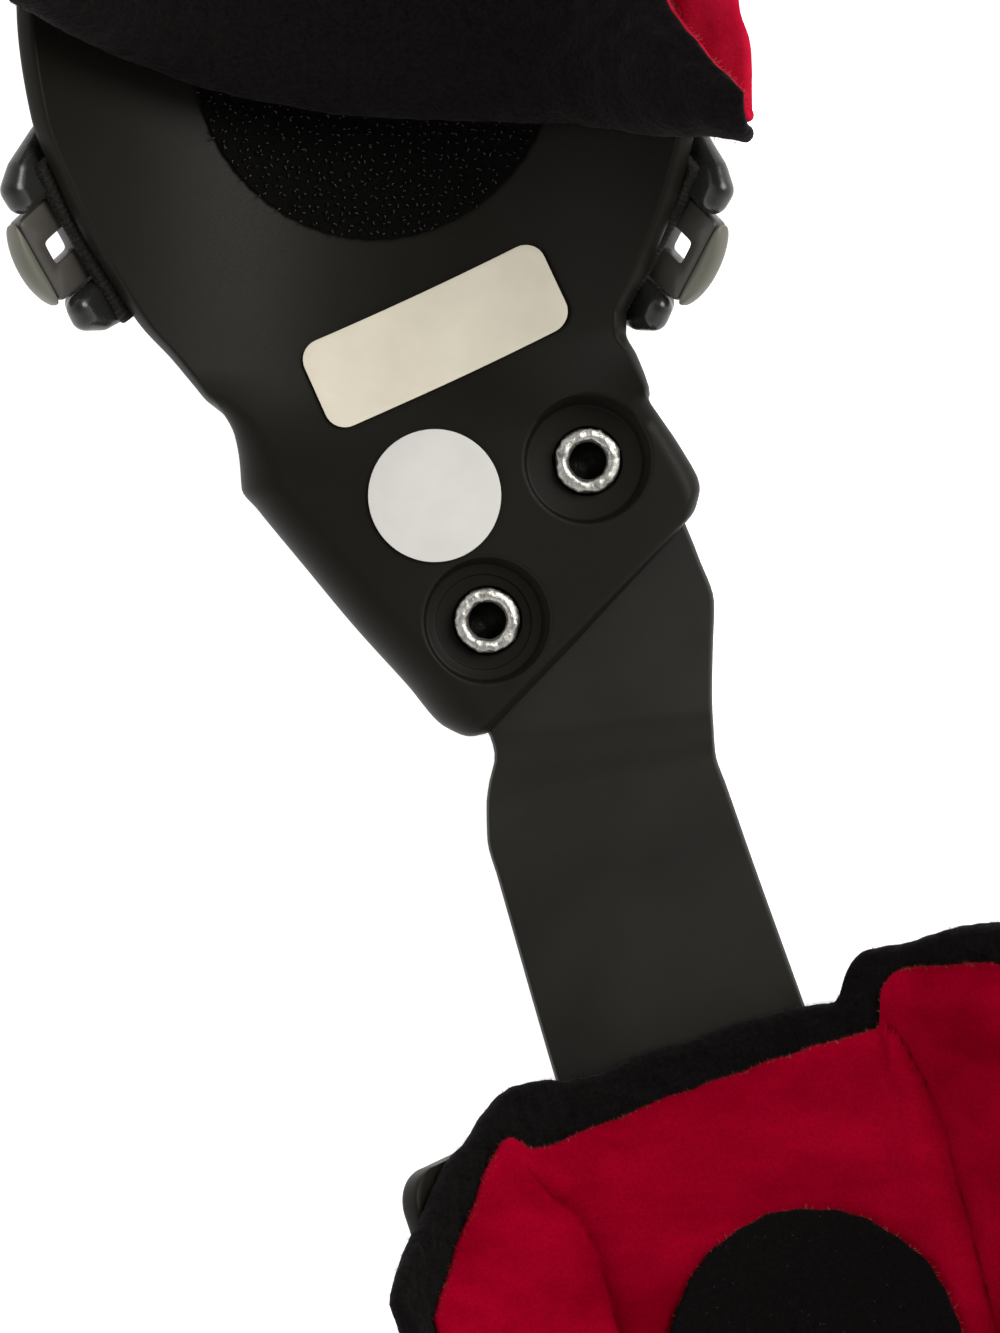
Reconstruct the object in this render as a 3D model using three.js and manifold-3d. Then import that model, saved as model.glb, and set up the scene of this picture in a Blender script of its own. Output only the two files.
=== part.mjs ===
// Left elbow brace: two padded arm cuffs on one flat metal upright, lying on its outer side.
// Millimetres, +Z up towards the arm. The origin is on the underside of the upright, near the elbow.
import * as THREE from 'three';
import { mergeVertices } from 'three/addons/utils/BufferGeometryUtils.js';
import Module from 'manifold-3d';

const wasm = await Module();
wasm.setup();

// Clearances
const gap = 0.3;
const labelGap = 0.35;

// Metal upright
const barWidth = 35.5;
const barThick = 3;
const barHeadReach = 72.3;
const barStep = 2;
const barTail = 54;
const barTailRound = 7;
const barEdge = 0.25;

// Upper arm cuff
const shellWall = 3;
const upperRadius = 52;
const upperFloor = 7;
const upperAxisX = -35.9;
const tongueEnd = 21;
const shellWidthShare = 0.896;
const shellLength = 141;
const tongueThick = 9;
const bossFrom = 2;
const bossTo = 5;
const fadeStart = 59;
const fadeSlope = 0.1;
const fadeLength = 14;

// Tube rivets through the tongue and the upright
const tubeRadius = 4.65;
const tubeBore = 2.7;
const tubeFlange = 6.3;
const tubeFlangeThick = 1.3;
const tubeShort = 0.3;
const tubeBoreFloor = 4.5;
const boreRadius = 9;
const boreDepth = 2.5;

// Forearm cuff
const elbowBend = THREE.MathUtils.degToRad(18.7);
const lowerRadius = 58;
const lowerPlace = { x: 12.5, y: -22.8 };
const lowerLength = 94;
const lowerShellTurn = THREE.MathUtils.degToRad(52);
const lowerInset = 2.5;
const lowerCorner = 5;
const shellRivetRadius = 3;
const shellRivetAlongs = [12, 44];
const barOffCentre = 4.6;

// Padding
const baseThick = 3;
const upperFaceThick = 2;
const foldRadius = 5;
const linerOverTop = 5;
const flapOverTop = 3;
const flareTurn = THREE.MathUtils.degToRad(58);
const flareLeft = 11;
const flareRight = 16.5;
const lowerBaseTurn = THREE.MathUtils.degToRad(66);
const lowerFaceTurn = THREE.MathUtils.degToRad(62);
const faceEdge = 1;
const cushionRise = 4.6;
const wingRise = 4.2;
const lowerDiscRadius = 20.4;
const lowerDiscThick = 1.2;

// Discs and labels on the upper shell
const hookDisc = { x: -35.4, y: 117.1, radius: 25.7, thick: 1.2 };
const sideLabel = { x: -26.9, y: 54.9, radius: 9.5 };
const partLabel = { x: -26.9, y: 77.5, width: 37.5, height: 13.4, corner: 3 };
const partLabelTurn = THREE.MathUtils.degToRad(24.2);
const labelThick = 0.3;

// Straps and buckles
const strapWidth = 25;
const strapThick = 2;
const upperStrapTurn = THREE.MathUtils.degToRad(48.1);
const upperStrapShare = 0.515;
const upperRimTilt = THREE.MathUtils.degToRad(38);
const lowerStrapTurn = THREE.MathUtils.degToRad(52);
const lowerStrapShare = 0.766;
const buckleHalf = 15.2;
const buckleBackHalf = 13.5;
const buckleTipHalf = 11;
const buckleBehind = 10;
const buckleShoulder = 4;
const buckleAhead = 6.1;
const buckleThick = 2.7;
const earRise = 2.3;
const earStart = 1;
const strapRoom = 0.7;
const slotHalf = 6.8;
const slotFloor = -2.5;
const hookTabHalf = 6.5;
const hookTabThick = 2.5;
const hookTabEnd = 4.8;
const hookHole = 3.6;
const hookHoleAlong = 0.6;
const lipHalf = 6.5;
const lipLength = 3;
const lipThick = 4.6;

const shellTop = tongueEnd + shellLength;
const shellHalf = upperRadius * shellWidthShare;
const upperStrapAlong = shellLength * upperStrapShare;
const lowerStrapAlong = lowerLength * lowerStrapShare;
const upperAxisZ = upperFloor + upperRadius;
const lowerFloor = barThick + gap + shellWall;
const lowerAxisZ = lowerFloor + lowerRadius;

const materials = {
  plastic: new THREE.MeshStandardMaterial({ color: '#262628', roughness: 0.5 }),
  bar: new THREE.MeshStandardMaterial({ color: '#2a2722', roughness: 0.45, metalness: 0.6 }),
  steel: new THREE.MeshStandardMaterial({ color: '#b0aea6', roughness: 0.35, metalness: 1 }),
  blackFabric: new THREE.MeshStandardMaterial({ color: '#0c0b0c', roughness: 0.95 }),
  redVelour: new THREE.MeshStandardMaterial({ color: '#b00624', roughness: 0.9 }),
  hooks: new THREE.MeshStandardMaterial({ color: '#111111', roughness: 0.6 }),
  paper: new THREE.MeshStandardMaterial({ color: '#dcd6cb', roughness: 0.6 }),
  webbing: new THREE.MeshStandardMaterial({ color: '#151515', roughness: 0.9 }),
  buckle: new THREE.MeshStandardMaterial({ color: '#4a4d50', roughness: 0.3 }),
  tab: new THREE.MeshStandardMaterial({ color: '#77766c', roughness: 0.4 }),
};

// Tables

// Places of the tube rivets in the upright's head: right is a share of barWidth, up of barHeadReach.
const tubeShares = [
  { right: -0.1408, up: 0.8299 },
  { right: -0.5465, up: 0.5131 },
];
const tubePlaces = tubeShares.map(({ right, up }) => ({ x: right * barWidth, y: up * barHeadReach }));

// Outline of the upper shell, from its top edge to the tongue's oblique end. Left and right are shares of
// shellHalf from the cuff's axis, their downs shares of shellLength. EdgeL and edgeR round the tongue's
// edges and lip lowers its end, as shares of its thickness.
const shellRows = [
  { left: 0.6, leftDown: 0, right: 0.6, rightDown: 0, edgeL: 0, edgeR: 0, lip: 0 },
  { left: 0.78, leftDown: 0.02, right: 0.78, rightDown: 0.02, edgeL: 0, edgeR: 0, lip: 0 },
  { left: 0.89, leftDown: 0.055, right: 0.89, rightDown: 0.055, edgeL: 0, edgeR: 0, lip: 0 },
  { left: 0.966, leftDown: 0.12, right: 0.944, rightDown: 0.12, edgeL: 0, edgeR: 0, lip: 0 },
  { left: 0.97, leftDown: 0.22, right: 0.944, rightDown: 0.22, edgeL: 0, edgeR: 0, lip: 0 },
  { left: 0.966, leftDown: 0.303, right: 0.944, rightDown: 0.303, edgeL: 0, edgeR: 0, lip: 0 },
  { left: 0.932, leftDown: 0.4, right: 0.922, rightDown: 0.396, edgeL: 0, edgeR: 0, lip: 0 },
  { left: 0.872, leftDown: 0.457, right: 0.876, rightDown: 0.465, edgeL: 0, edgeR: 0, lip: 0 },
  { left: 0.813, leftDown: 0.504, right: 0.822, rightDown: 0.515, edgeL: 0, edgeR: 0, lip: 0 },
  { left: 0.742, leftDown: 0.545, right: 0.765, rightDown: 0.556, edgeL: 0, edgeR: 0, lip: 0 },
  { left: 0.654, leftDown: 0.592, right: 0.73, rightDown: 0.581, edgeL: 0, edgeR: 0, lip: 0 },
  { left: 0.566, leftDown: 0.625, right: 0.73, rightDown: 0.6, edgeL: 0.1, edgeR: 0.05, lip: 0 },
  { left: 0.484, leftDown: 0.662, right: 0.768, rightDown: 0.622, edgeL: 0.25, edgeR: 0.1, lip: 0 },
  { left: 0.426, leftDown: 0.697, right: 0.808, rightDown: 0.642, edgeL: 0.45, edgeR: 0.2, lip: 0 },
  { left: 0.414, leftDown: 0.723, right: 0.843, rightDown: 0.66, edgeL: 0.6, edgeR: 0.3, lip: 0 },
  { left: 0.409, leftDown: 0.75, right: 0.886, rightDown: 0.678, edgeL: 0.7, edgeR: 0.33, lip: 0 },
  { left: 0.358, leftDown: 0.772, right: 0.925, rightDown: 0.696, edgeL: 0.7, edgeR: 0.33, lip: 0 },
  { left: 0.211, leftDown: 0.831, right: 0.965, rightDown: 0.717, edgeL: 0.7, edgeR: 0.33, lip: 0 },
  { left: 0.06, leftDown: 0.891, right: 0.99, rightDown: 0.731, edgeL: 0.7, edgeR: 0.33, lip: 0 },
  { left: -0.102, leftDown: 0.95, right: 1.005, rightDown: 0.742, edgeL: 0.7, edgeR: 0.33, lip: 0 },
  { left: -0.222, leftDown: 0.994, right: 1.01, rightDown: 0.752, edgeL: 0.6, edgeR: 0.33, lip: 0 },
  { left: -0.3, leftDown: 1.004, right: 0.996, rightDown: 0.772, edgeL: 0.4, edgeR: 0.3, lip: 0.06 },
  { left: -0.352, leftDown: 1.001, right: 0.952, rightDown: 0.792, edgeL: 0.2, edgeR: 0.2, lip: 0.26 },
];

// Outline of the upright from its head down to the elbow. Left and right are shares of barWidth from the
// origin, their ups shares of barHeadReach, lift a share of the step that raises the head.
const barRows = [
  { left: -0.28, leftUp: 0.99, right: -0.14, rightUp: 1, lift: 1 },
  { left: -0.39, leftUp: 0.955, right: 0, rightUp: 0.983, lift: 1 },
  { left: -0.48, leftUp: 0.9, right: 0.113, rightUp: 0.935, lift: 1 },
  { left: -0.563, leftUp: 0.83, right: 0.183, rightUp: 0.865, lift: 1 },
  { left: -0.704, leftUp: 0.712, right: 0.225, rightUp: 0.747, lift: 1 },
  { left: -0.817, leftUp: 0.609, right: 0.304, rightUp: 0.643, lift: 1 },
  { left: -0.845, leftUp: 0.526, right: 0.37, rightUp: 0.546, lift: 1 },
  { left: -0.803, leftUp: 0.436, right: 0.364, rightUp: 0.452, lift: 1 },
  { left: -0.648, leftUp: 0.346, right: 0.361, rightUp: 0.373, lift: 1 },
  { left: -0.53, leftUp: 0.284, right: 0.363, rightUp: 0.332, lift: 1 },
  { left: -0.51, leftUp: 0.241, right: 0.369, rightUp: 0.297, lift: 0.6 },
  { left: -0.533, leftUp: 0.19, right: 0.374, rightUp: 0.268, lift: 0.12 },
  { left: -0.544, leftUp: 0.147, right: 0.38, rightUp: 0.243, lift: 0 },
  { left: -0.541, leftUp: 0.079, right: 0.42, rightUp: 0.187, lift: 0 },
  { left: -0.499, leftUp: 0.001, right: 0.465, rightUp: 0.124, lift: 0 },
];
const pocketRowCount = 11;

// Fold line of the upper liner. Across is a share of the half width, up a share of shellTop.
const foldLine = [
  { across: -1, up: 0.728 },
  { across: -0.66, up: 0.704 },
  { across: -0.33, up: 0.682 },
  { across: 0, up: 0.667 },
  { across: 0.33, up: 0.652 },
  { across: 0.7, up: 0.643 },
  { across: 1, up: 0.616 },
];

// Width of the upper liner. Run is a share of the layer's length, left and right are shares of the half
// width.
const underWidths = [
  { run: 0, left: 0.66, right: 0.66 },
  { run: 0.04, left: 0.84, right: 0.84 },
  { run: 0.12, left: 0.95, right: 0.95 },
  { run: 0.3, left: 1, right: 1 },
  { run: 0.65, left: 1, right: 1 },
  { run: 1, left: 1, right: 1 },
];
const flapWidths = [
  { run: 0, left: 1, right: 0.97 },
  { run: 0.15, left: 0.95, right: 0.84 },
  { run: 0.31, left: 0.88, right: 0.71 },
  { run: 0.5, left: 0.77, right: 0.62 },
  { run: 0.7, left: 0.64, right: 0.54 },
  { run: 0.88, left: 0.5, right: 0.44 },
  { run: 0.96, left: 0.4, right: 0.35 },
  { run: 1, left: 0.26, right: 0.22 },
];

// Ends of the forearm liner's black base. Turn is a share of lowerBaseTurn, near and far of lowerLength.
const baseEnds = [
  { turn: -1, near: 0.165, far: 0.84 },
  { turn: -0.93, near: 0.135, far: 0.95 },
  { turn: -0.84, near: 0.1, far: 1.01 },
  { turn: -0.74, near: 0.062, far: 1.03 },
  { turn: -0.62, near: 0.024, far: 1.04 },
  { turn: -0.55, near: -0.006, far: 1.04 },
  { turn: -0.46, near: -0.026, far: 1.04 },
  { turn: -0.385, near: -0.014, far: 1.04 },
  { turn: -0.34, near: -0.001, far: 1.04 },
  { turn: -0.17, near: 0.003, far: 1.04 },
  { turn: 0, near: 0.006, far: 1.04 },
  { turn: 0.15, near: 0.009, far: 1.04 },
  { turn: 0.285, near: 0.008, far: 1.04 },
  { turn: 0.34, near: -0.031, far: 1.04 },
  { turn: 0.39, near: -0.048, far: 1.04 },
  { turn: 0.5, near: -0.045, far: 1.04 },
  { turn: 0.62, near: -0.041, far: 1.04 },
  { turn: 0.74, near: -0.033, far: 1.03 },
  { turn: 0.86, near: 0, far: 1 },
  { turn: 0.95, near: 0.06, far: 0.94 },
  { turn: 1, near: 0.14, far: 0.84 },
];

// Ends of the red facing and its three cushions. Turn is a share of lowerFaceTurn, rise a share of the
// cushion's own rise.
const faceEnds = [
  { turn: -1, near: 0.215, far: 0.82, rise: 0, wing: 1 },
  { turn: -0.93, near: 0.19, far: 0.9, rise: 0.55, wing: 1 },
  { turn: -0.84, near: 0.153, far: 0.95, rise: 0.85, wing: 1 },
  { turn: -0.73, near: 0.107, far: 0.97, rise: 1, wing: 1 },
  { turn: -0.62, near: 0.055, far: 0.98, rise: 0.85, wing: 1 },
  { turn: -0.54, near: 0.034, far: 0.98, rise: 0.55, wing: 1 },
  { turn: -0.475, near: 0.062, far: 0.98, rise: 0, wing: 0 },
  { turn: -0.41, near: 0.067, far: 0.98, rise: 0.4, wing: 0 },
  { turn: -0.28, near: 0.067, far: 0.98, rise: 0.76, wing: 0 },
  { turn: -0.14, near: 0.065, far: 0.98, rise: 0.95, wing: 0 },
  { turn: 0, near: 0.064, far: 0.98, rise: 1, wing: 0 },
  { turn: 0.14, near: 0.062, far: 0.98, rise: 0.95, wing: 0 },
  { turn: 0.28, near: 0.061, far: 0.98, rise: 0.8, wing: 0 },
  { turn: 0.4, near: 0.062, far: 0.98, rise: 0.55, wing: 0 },
  { turn: 0.455, near: 0, far: 0.98, rise: 0, wing: 1 },
  { turn: 0.51, near: -0.016, far: 0.98, rise: 0.5, wing: 1 },
  { turn: 0.61, near: -0.006, far: 0.98, rise: 0.85, wing: 1 },
  { turn: 0.74, near: 0.004, far: 0.97, rise: 1, wing: 1 },
  { turn: 0.87, near: 0.04, far: 0.95, rise: 0.85, wing: 1 },
  { turn: 0.95, near: 0.09, far: 0.9, rise: 0.5, wing: 1 },
  { turn: 1, near: 0.16, far: 0.82, rise: 0, wing: 1 },
];

// How a cushion swells between its two ends. Run is a share of its length, swell of its rise.
const cushionSwell = [
  { run: 0, swell: 0 },
  { run: 0.05, swell: 0.5 },
  { run: 0.14, swell: 0.85 },
  { run: 0.3, swell: 1 },
  { run: 0.5, swell: 1 },
  { run: 0.7, swell: 1 },
  { run: 0.86, swell: 0.85 },
  { run: 0.95, swell: 0.5 },
  { run: 1, swell: 0 },
];

// Reads a column of a table at a place between its rows.
function readTable(table, key, place, column) {
  const next = table.findIndex((row) => row[key] >= place);
  if (next < 0) return table[table.length - 1][column];
  if (next === 0) return table[0][column];
  const share = (place - table[next - 1][key]) / (table[next][key] - table[next - 1][key]);
  return THREE.MathUtils.lerp(table[next - 1][column], table[next][column], share);
}

// Meshes

function geometryFrom(points, index) {
  const geometry = new THREE.BufferGeometry();
  geometry.setAttribute('position', new THREE.Float32BufferAttribute(points.flatMap((p) => p.toArray()), 3));
  geometry.setIndex(signedVolume(points, index) < 0 ? flipped(index) : index);
  return geometry;
}

function signedVolume(points, index) {
  let total = 0;
  for (let i = 0; i < index.length; i += 3) {
    const [a, b, c] = [points[index[i]], points[index[i + 1]], points[index[i + 2]]];
    total += a.dot(b.clone().cross(c)) / 6;
  }
  return total;
}

function flipped(index) {
  const turned = [];
  for (let i = 0; i < index.length; i += 3) turned.push(index[i], index[i + 2], index[i + 1]);
  return turned;
}

// Closes two grids of points that share an outline. The rim between them swells by bulge.
function closedSheet(top, bottom, bulge) {
  const rows = top.length;
  const columns = top[0].length;
  const points = [...top.flat(), ...bottom.flat()];
  const index = [];
  const at = (side, row, column) => side * rows * columns + row * columns + column;
  for (let row = 0; row < rows - 1; row++) {
    for (let column = 0; column < columns - 1; column++) {
      const [a, b] = [at(0, row, column), at(0, row, column + 1)];
      const [c, d] = [at(0, row + 1, column + 1), at(0, row + 1, column)];
      index.push(a, b, c, a, c, d);
      const shift = rows * columns;
      index.push(a + shift, c + shift, b + shift, a + shift, d + shift, c + shift);
    }
  }
  const outline = [];
  for (let column = 0; column < columns; column++) outline.push([0, column]);
  for (let row = 1; row < rows; row++) outline.push([row, columns - 1]);
  for (let column = columns - 2; column >= 0; column--) outline.push([rows - 1, column]);
  for (let row = rows - 2; row > 0; row--) outline.push([row, 0]);
  const first = points.length;
  for (const [row, column] of outline) {
    const inRow = THREE.MathUtils.clamp(row, 1, rows - 2);
    const inColumn = THREE.MathUtils.clamp(column, 1, columns - 2);
    const middle = top[row][column].clone().add(bottom[row][column]).multiplyScalar(0.5);
    const inner = top[inRow][inColumn].clone().add(bottom[inRow][inColumn]).multiplyScalar(0.5);
    points.push(middle.clone().add(middle.clone().sub(inner).setLength(bulge)));
  }
  outline.forEach(([row, column], k) => {
    const [nextRow, nextColumn] = outline[(k + 1) % outline.length];
    const rim = first + k;
    const nextRim = first + ((k + 1) % outline.length);
    const [a, b] = [at(0, row, column), at(0, nextRow, nextColumn)];
    const [c, d] = [at(1, row, column), at(1, nextRow, nextColumn)];
    index.push(a, rim, b, b, rim, nextRim, rim, c, nextRim, nextRim, c, d);
  });
  return geometryFrom(points, index);
}

// Moves each point of a grid along the grid's own normal.
function offsetGrid(grid, distance) {
  const last = grid.length - 1;
  return grid.map((row, r) => row.map((point, c) => {
    const end = row.length - 1;
    const across = row[Math.min(c + 1, end)].clone().sub(row[Math.max(c - 1, 0)]);
    const along = grid[Math.min(r + 1, last)][c].clone().sub(grid[Math.max(r - 1, 0)][c]);
    const normal = along.cross(across).normalize();
    const lift = typeof distance === 'function' ? distance(r, c) : distance;
    return point.clone().addScaledVector(normal, lift);
  }));
}

// A patch laid on a surface, between two lifts: rings of points at shares of the way to its outline.
function surfacePatch(middle, outline, height, low, high, shares) {
  const sectors = 24;
  const probe = 0.2;
  const lifted = (x, y, lift) => {
    const slopeX = (height(x + probe, y) - height(x - probe, y)) / (2 * probe);
    const slopeY = (height(x, y + probe) - height(x, y - probe)) / (2 * probe);
    return new THREE.Vector3(x, y, height(x, y) + lift * Math.sqrt(1 + slopeX ** 2 + slopeY ** 2));
  };
  const points = [];
  for (const lift of [high, low]) {
    points.push(lifted(middle.x, middle.y, lift));
    for (const share of shares) {
      for (let k = 0; k < sectors; k++) {
        const spoke = outline((k / sectors) * 2 * Math.PI);
        points.push(lifted(middle.x + spoke.x * share, middle.y + spoke.y * share, lift));
      }
    }
  }
  const index = [];
  const side = points.length / 2;
  const at = (half, ring, k) => half * side + 1 + ring * sectors + (k % sectors);
  for (let k = 0; k < sectors; k++) {
    index.push(0, at(0, 0, k), at(0, 0, k + 1));
    index.push(side, at(1, 0, k + 1), at(1, 0, k));
    for (let ring = 0; ring < shares.length - 1; ring++) {
      const [a, b] = [at(0, ring, k), at(0, ring, k + 1)];
      const [c, d] = [at(0, ring + 1, k), at(0, ring + 1, k + 1)];
      index.push(a, c, d, a, d, b, a + side, d + side, c + side, a + side, b + side, d + side);
    }
    const [a, b] = [at(0, shares.length - 1, k), at(0, shares.length - 1, k + 1)];
    index.push(a, a + side, b, b, a + side, b + side);
  }
  return geometryFrom(points, index);
}

const flatRings = [0.6, 1];
const curvedRings = [0.35, 0.7, 1];
const roundOutline = (radius) => (turn) => ({ x: Math.cos(turn) * radius, y: Math.sin(turn) * radius });

// The outline of a rectangle with round corners, by its distance from the middle in each direction.
function labelOutline(label, tilt) {
  const inX = label.width / 2 - label.corner;
  const inY = label.height / 2 - label.corner;
  return (turn) => {
    const squared = Math.abs(Math.cos(turn)) > Math.abs(Math.sin(turn));
    const wide = (label.width / 2) * Math.sign(Math.cos(turn));
    const high = (label.height / 2) * Math.sign(Math.sin(turn) || 1);
    let x = squared ? wide : (label.width / 2) * Math.cos(turn) * Math.SQRT2;
    let y = squared ? (label.height / 2) * Math.sin(turn) * Math.SQRT2 : high;
    const [overX, overY] = [Math.abs(x) - inX, Math.abs(y) - inY];
    if (overX > 0 && overY > 0) {
      const far = Math.hypot(overX, overY);
      x = Math.sign(x) * (inX + (overX / far) * label.corner);
      y = Math.sign(y) * (inY + (overY / far) * label.corner);
    }
    return { x: x * Math.cos(tilt) - y * Math.sin(tilt), y: x * Math.sin(tilt) + y * Math.cos(tilt) };
  };
}

// Booleans

function toSolid(geometry) {
  const bare = geometry.clone();
  bare.deleteAttribute('normal');
  bare.deleteAttribute('uv');
  const merged = mergeVertices(bare, 1e-5);
  return new wasm.Manifold(new wasm.Mesh({
    numProp: 3,
    vertProperties: new Float32Array(merged.attributes.position.array),
    triVerts: new Uint32Array(merged.index.array),
  }));
}

function fromSolid(solid) {
  const mesh = solid.getMesh();
  const geometry = new THREE.BufferGeometry();
  geometry.setAttribute('position', new THREE.BufferAttribute(new Float32Array(mesh.vertProperties), 3));
  geometry.setIndex([...mesh.triVerts]);
  return geometry;
}

function cutAway(geometry, tools) {
  return fromSolid(tools.reduce((solid, tool) => solid.subtract(toSolid(tool)), toSolid(geometry)));
}

function upright(radius, low, high, place) {
  const cylinder = new THREE.CylinderGeometry(radius, radius, high - low, 24);
  cylinder.rotateX(Math.PI / 2);
  cylinder.translate(place.x, place.y, (low + high) / 2);
  return cylinder;
}

function turned(profile, sides) {
  const geometry = new THREE.LatheGeometry(profile.map(([r, z]) => new THREE.Vector2(r, z)), sides);
  geometry.rotateX(Math.PI / 2);
  return geometry;
}

// Cuffs

const makeCuff = (x, y, bend, radius, axisZ) => {
  const along = new THREE.Vector3(Math.sin(bend), -Math.cos(bend), 0);
  const across = new THREE.Vector3(Math.cos(bend), Math.sin(bend), 0);
  return { middle: new THREE.Vector3(x, y, 0), along, across, radius, axisZ };
};
const upperCuff = makeCuff(upperAxisX, shellTop, 0, upperRadius, upperAxisZ);
const lowerCuff = makeCuff(lowerPlace.x, lowerPlace.y, elbowBend, lowerRadius, lowerAxisZ);

// The point of a cuff at an angle from its lowest line, a distance along it and a radius from its axis.
function cuffPoint(cuff, turn, along, radius) {
  const point = cuff.middle.clone().addScaledVector(cuff.along, along);
  point.addScaledVector(cuff.across, radius * Math.sin(turn));
  point.z = cuff.axisZ - radius * Math.cos(turn);
  return point;
}

// Upper shell

const fadeAt = (x, y) => {
  const past = y - fadeStart - fadeSlope * (x - upperAxisX + shellHalf * 0.4);
  return THREE.MathUtils.smoothstep(past, 0, fadeLength);
};

// Inner face of the upper shell: a round trough that fades into the flat tongue.
function shellFace(x, y) {
  const bowl = fadeAt(x, y);
  const side = Math.min(Math.abs(x - upperAxisX), upperRadius * 0.97);
  const floor = THREE.MathUtils.lerp(tongueThick, upperFloor, bowl);
  return floor + bowl * (upperRadius - Math.sqrt(upperRadius ** 2 - side ** 2));
}

// The thick boss under the tongue: one where the shell goes down to the ground, none in the trough.
function bossAt(x, y) {
  const rise = shellFace(x, y) - tongueThick;
  const flat = 1 - THREE.MathUtils.smoothstep(rise, bossFrom, bossTo);
  return flat * (1 - THREE.MathUtils.smoothstep(fadeAt(x, y), 0.55, 0.85));
}

const edgeDrop = (radius, distance) => {
  const inside = Math.max(radius - distance, 0);
  return radius - Math.sqrt(radius ** 2 - inside ** 2);
};

// A point of the shell's outline, from its shares of the half width and of the length.
function shellSpot(out, down) {
  return new THREE.Vector2(upperAxisX + out * shellHalf, shellTop - down * shellLength);
}

function upperShell() {
  const leftSteps = [0, 1.2, 3.5, 6.5];
  const rightSteps = [3, 1, 0];
  const fieldCount = 12;
  const top = [];
  const bottom = [];
  for (const row of shellRows) {
    const left = shellSpot(-row.left, row.leftDown);
    const right = shellSpot(row.right, row.rightDown);
    const width = left.distanceTo(right);
    const places = [...leftSteps];
    const field = width - leftSteps.at(-1) - rightSteps[0];
    for (let k = 1; k < fieldCount; k++) places.push(leftSteps.at(-1) + (field * k) / fieldCount);
    for (const step of rightSteps) places.push(width - step);
    const topRow = [];
    const bottomRow = [];
    for (const place of places) {
      const spot = left.clone().lerp(right, place / width);
      const boss = bossAt(spot.x, spot.y);
      const leftDrop = edgeDrop(row.edgeL * tongueThick, place);
      const rightDrop = edgeDrop(row.edgeR * tongueThick, width - place);
      const drop = (leftDrop + rightDrop + row.lip * tongueThick) * boss;
      const face = shellFace(spot.x, spot.y);
      const bowl = fadeAt(spot.x, spot.y);
      const across = THREE.MathUtils.clamp((spot.x - upperAxisX) / upperRadius, -0.97, 0.97);
      const lean = bowl * Math.asin(across);
      const under = new THREE.Vector3(spot.x, spot.y, face);
      under.x += shellWall * Math.sin(lean);
      under.z -= shellWall * Math.cos(lean);
      const ground = new THREE.Vector3(spot.x, spot.y, 0);
      topRow.push(new THREE.Vector3(spot.x, spot.y, face - drop));
      bottomRow.push(under.lerp(ground, boss));
    }
    top.push(topRow);
    bottom.push(bottomRow);
  }
  const body = closedSheet(top, bottom, shellWall * 0.18);
  const tools = [barPlate(pocketRowCount, gap + barEdge, -1, barStep + barThick + gap)];
  for (const place of tubePlaces) {
    tools.push(upright(boreRadius, tongueThick - boreDepth, tongueThick + 2 * shellWall, place));
    tools.push(upright(tubeRadius + gap, -1, tongueThick, place));
  }
  return cutAway(body, tools);
}

// Upright

// The upright's outline, grown by a clearance, between two heights or its own two faces.
function barPlate(rowCount, grow, low, high) {
  const rows = barRows.slice(0, rowCount).map((row) => ({
    left: new THREE.Vector3(row.left * barWidth, row.leftUp * barHeadReach, row.lift * barStep),
    right: new THREE.Vector3(row.right * barWidth, row.rightUp * barHeadReach, row.lift * barStep),
  }));
  if (rowCount === barRows.length) {
    const half = barWidth / 2;
    const tail = [[barTail - barTailRound, 0], [barTail - barTailRound * 0.3, 0.3], [barTail, 1]];
    for (const [along, round] of tail) {
      const middle = lowerCuff.middle.clone().addScaledVector(lowerCuff.across, -barOffCentre);
      middle.addScaledVector(lowerCuff.along, along);
      const side = half - round * barTailRound;
      rows.push({
        left: middle.clone().addScaledVector(lowerCuff.across, -side),
        right: middle.clone().addScaledVector(lowerCuff.across, side),
      });
    }
  }
  const grid = rows.map(({ left, right }, r) => {
    const outward = right.clone().sub(left).setLength(grow);
    const steps = [left.clone().sub(outward)];
    for (const share of [0.35, 0.65]) steps.push(left.clone().lerp(right, share));
    steps.push(right.clone().add(outward));
    if (r === 0) {
      const up = new THREE.Vector3(-outward.y, outward.x, 0);
      steps.forEach((step) => step.add(up));
    }
    return steps;
  });
  const at = (height) => grid.map((row) => row.map((p) => new THREE.Vector3(p.x, p.y, height)));
  const own = (lift) => grid.map((row) => row.map((p) => new THREE.Vector3(p.x, p.y, p.z + lift)));
  if (low === undefined) return closedSheet(own(barThick), own(0), barEdge);
  return closedSheet(at(high), at(low), (high - low) * 0.001);
}

function uprightBar() {
  const tools = tubePlaces.map((place) => upright(tubeRadius + gap, -1, barStep + barThick + 1, place));
  for (const place of shellRivetPlaces()) {
    tools.push(upright(shellRivetRadius + gap, -1, barThick + 1, place));
  }
  return cutAway(barPlate(barRows.length, 0), tools);
}

function tubeRivet() {
  const flangeTop = barStep - gap;
  const top = tongueThick - tubeShort;
  return turned([
    [0, flangeTop - tubeFlangeThick],
    [tubeFlange - 0.5, flangeTop - tubeFlangeThick],
    [tubeFlange, flangeTop - tubeFlangeThick + 0.5],
    [tubeFlange, flangeTop],
    [tubeRadius, flangeTop],
    [tubeRadius, top - 0.6],
    [tubeRadius - 0.6, top],
    [tubeBore + 0.5, top],
    [tubeBore, top - 0.5],
    [tubeBore, tubeBoreFloor],
    [0, tubeBoreFloor],
  ], 16);
}

// Forearm shell

function shellRivetPlaces() {
  return shellRivetAlongs.map((along) => {
    const place = lowerCuff.middle.clone().addScaledVector(lowerCuff.along, along);
    return place.addScaledVector(lowerCuff.across, -barOffCentre);
  });
}

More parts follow.
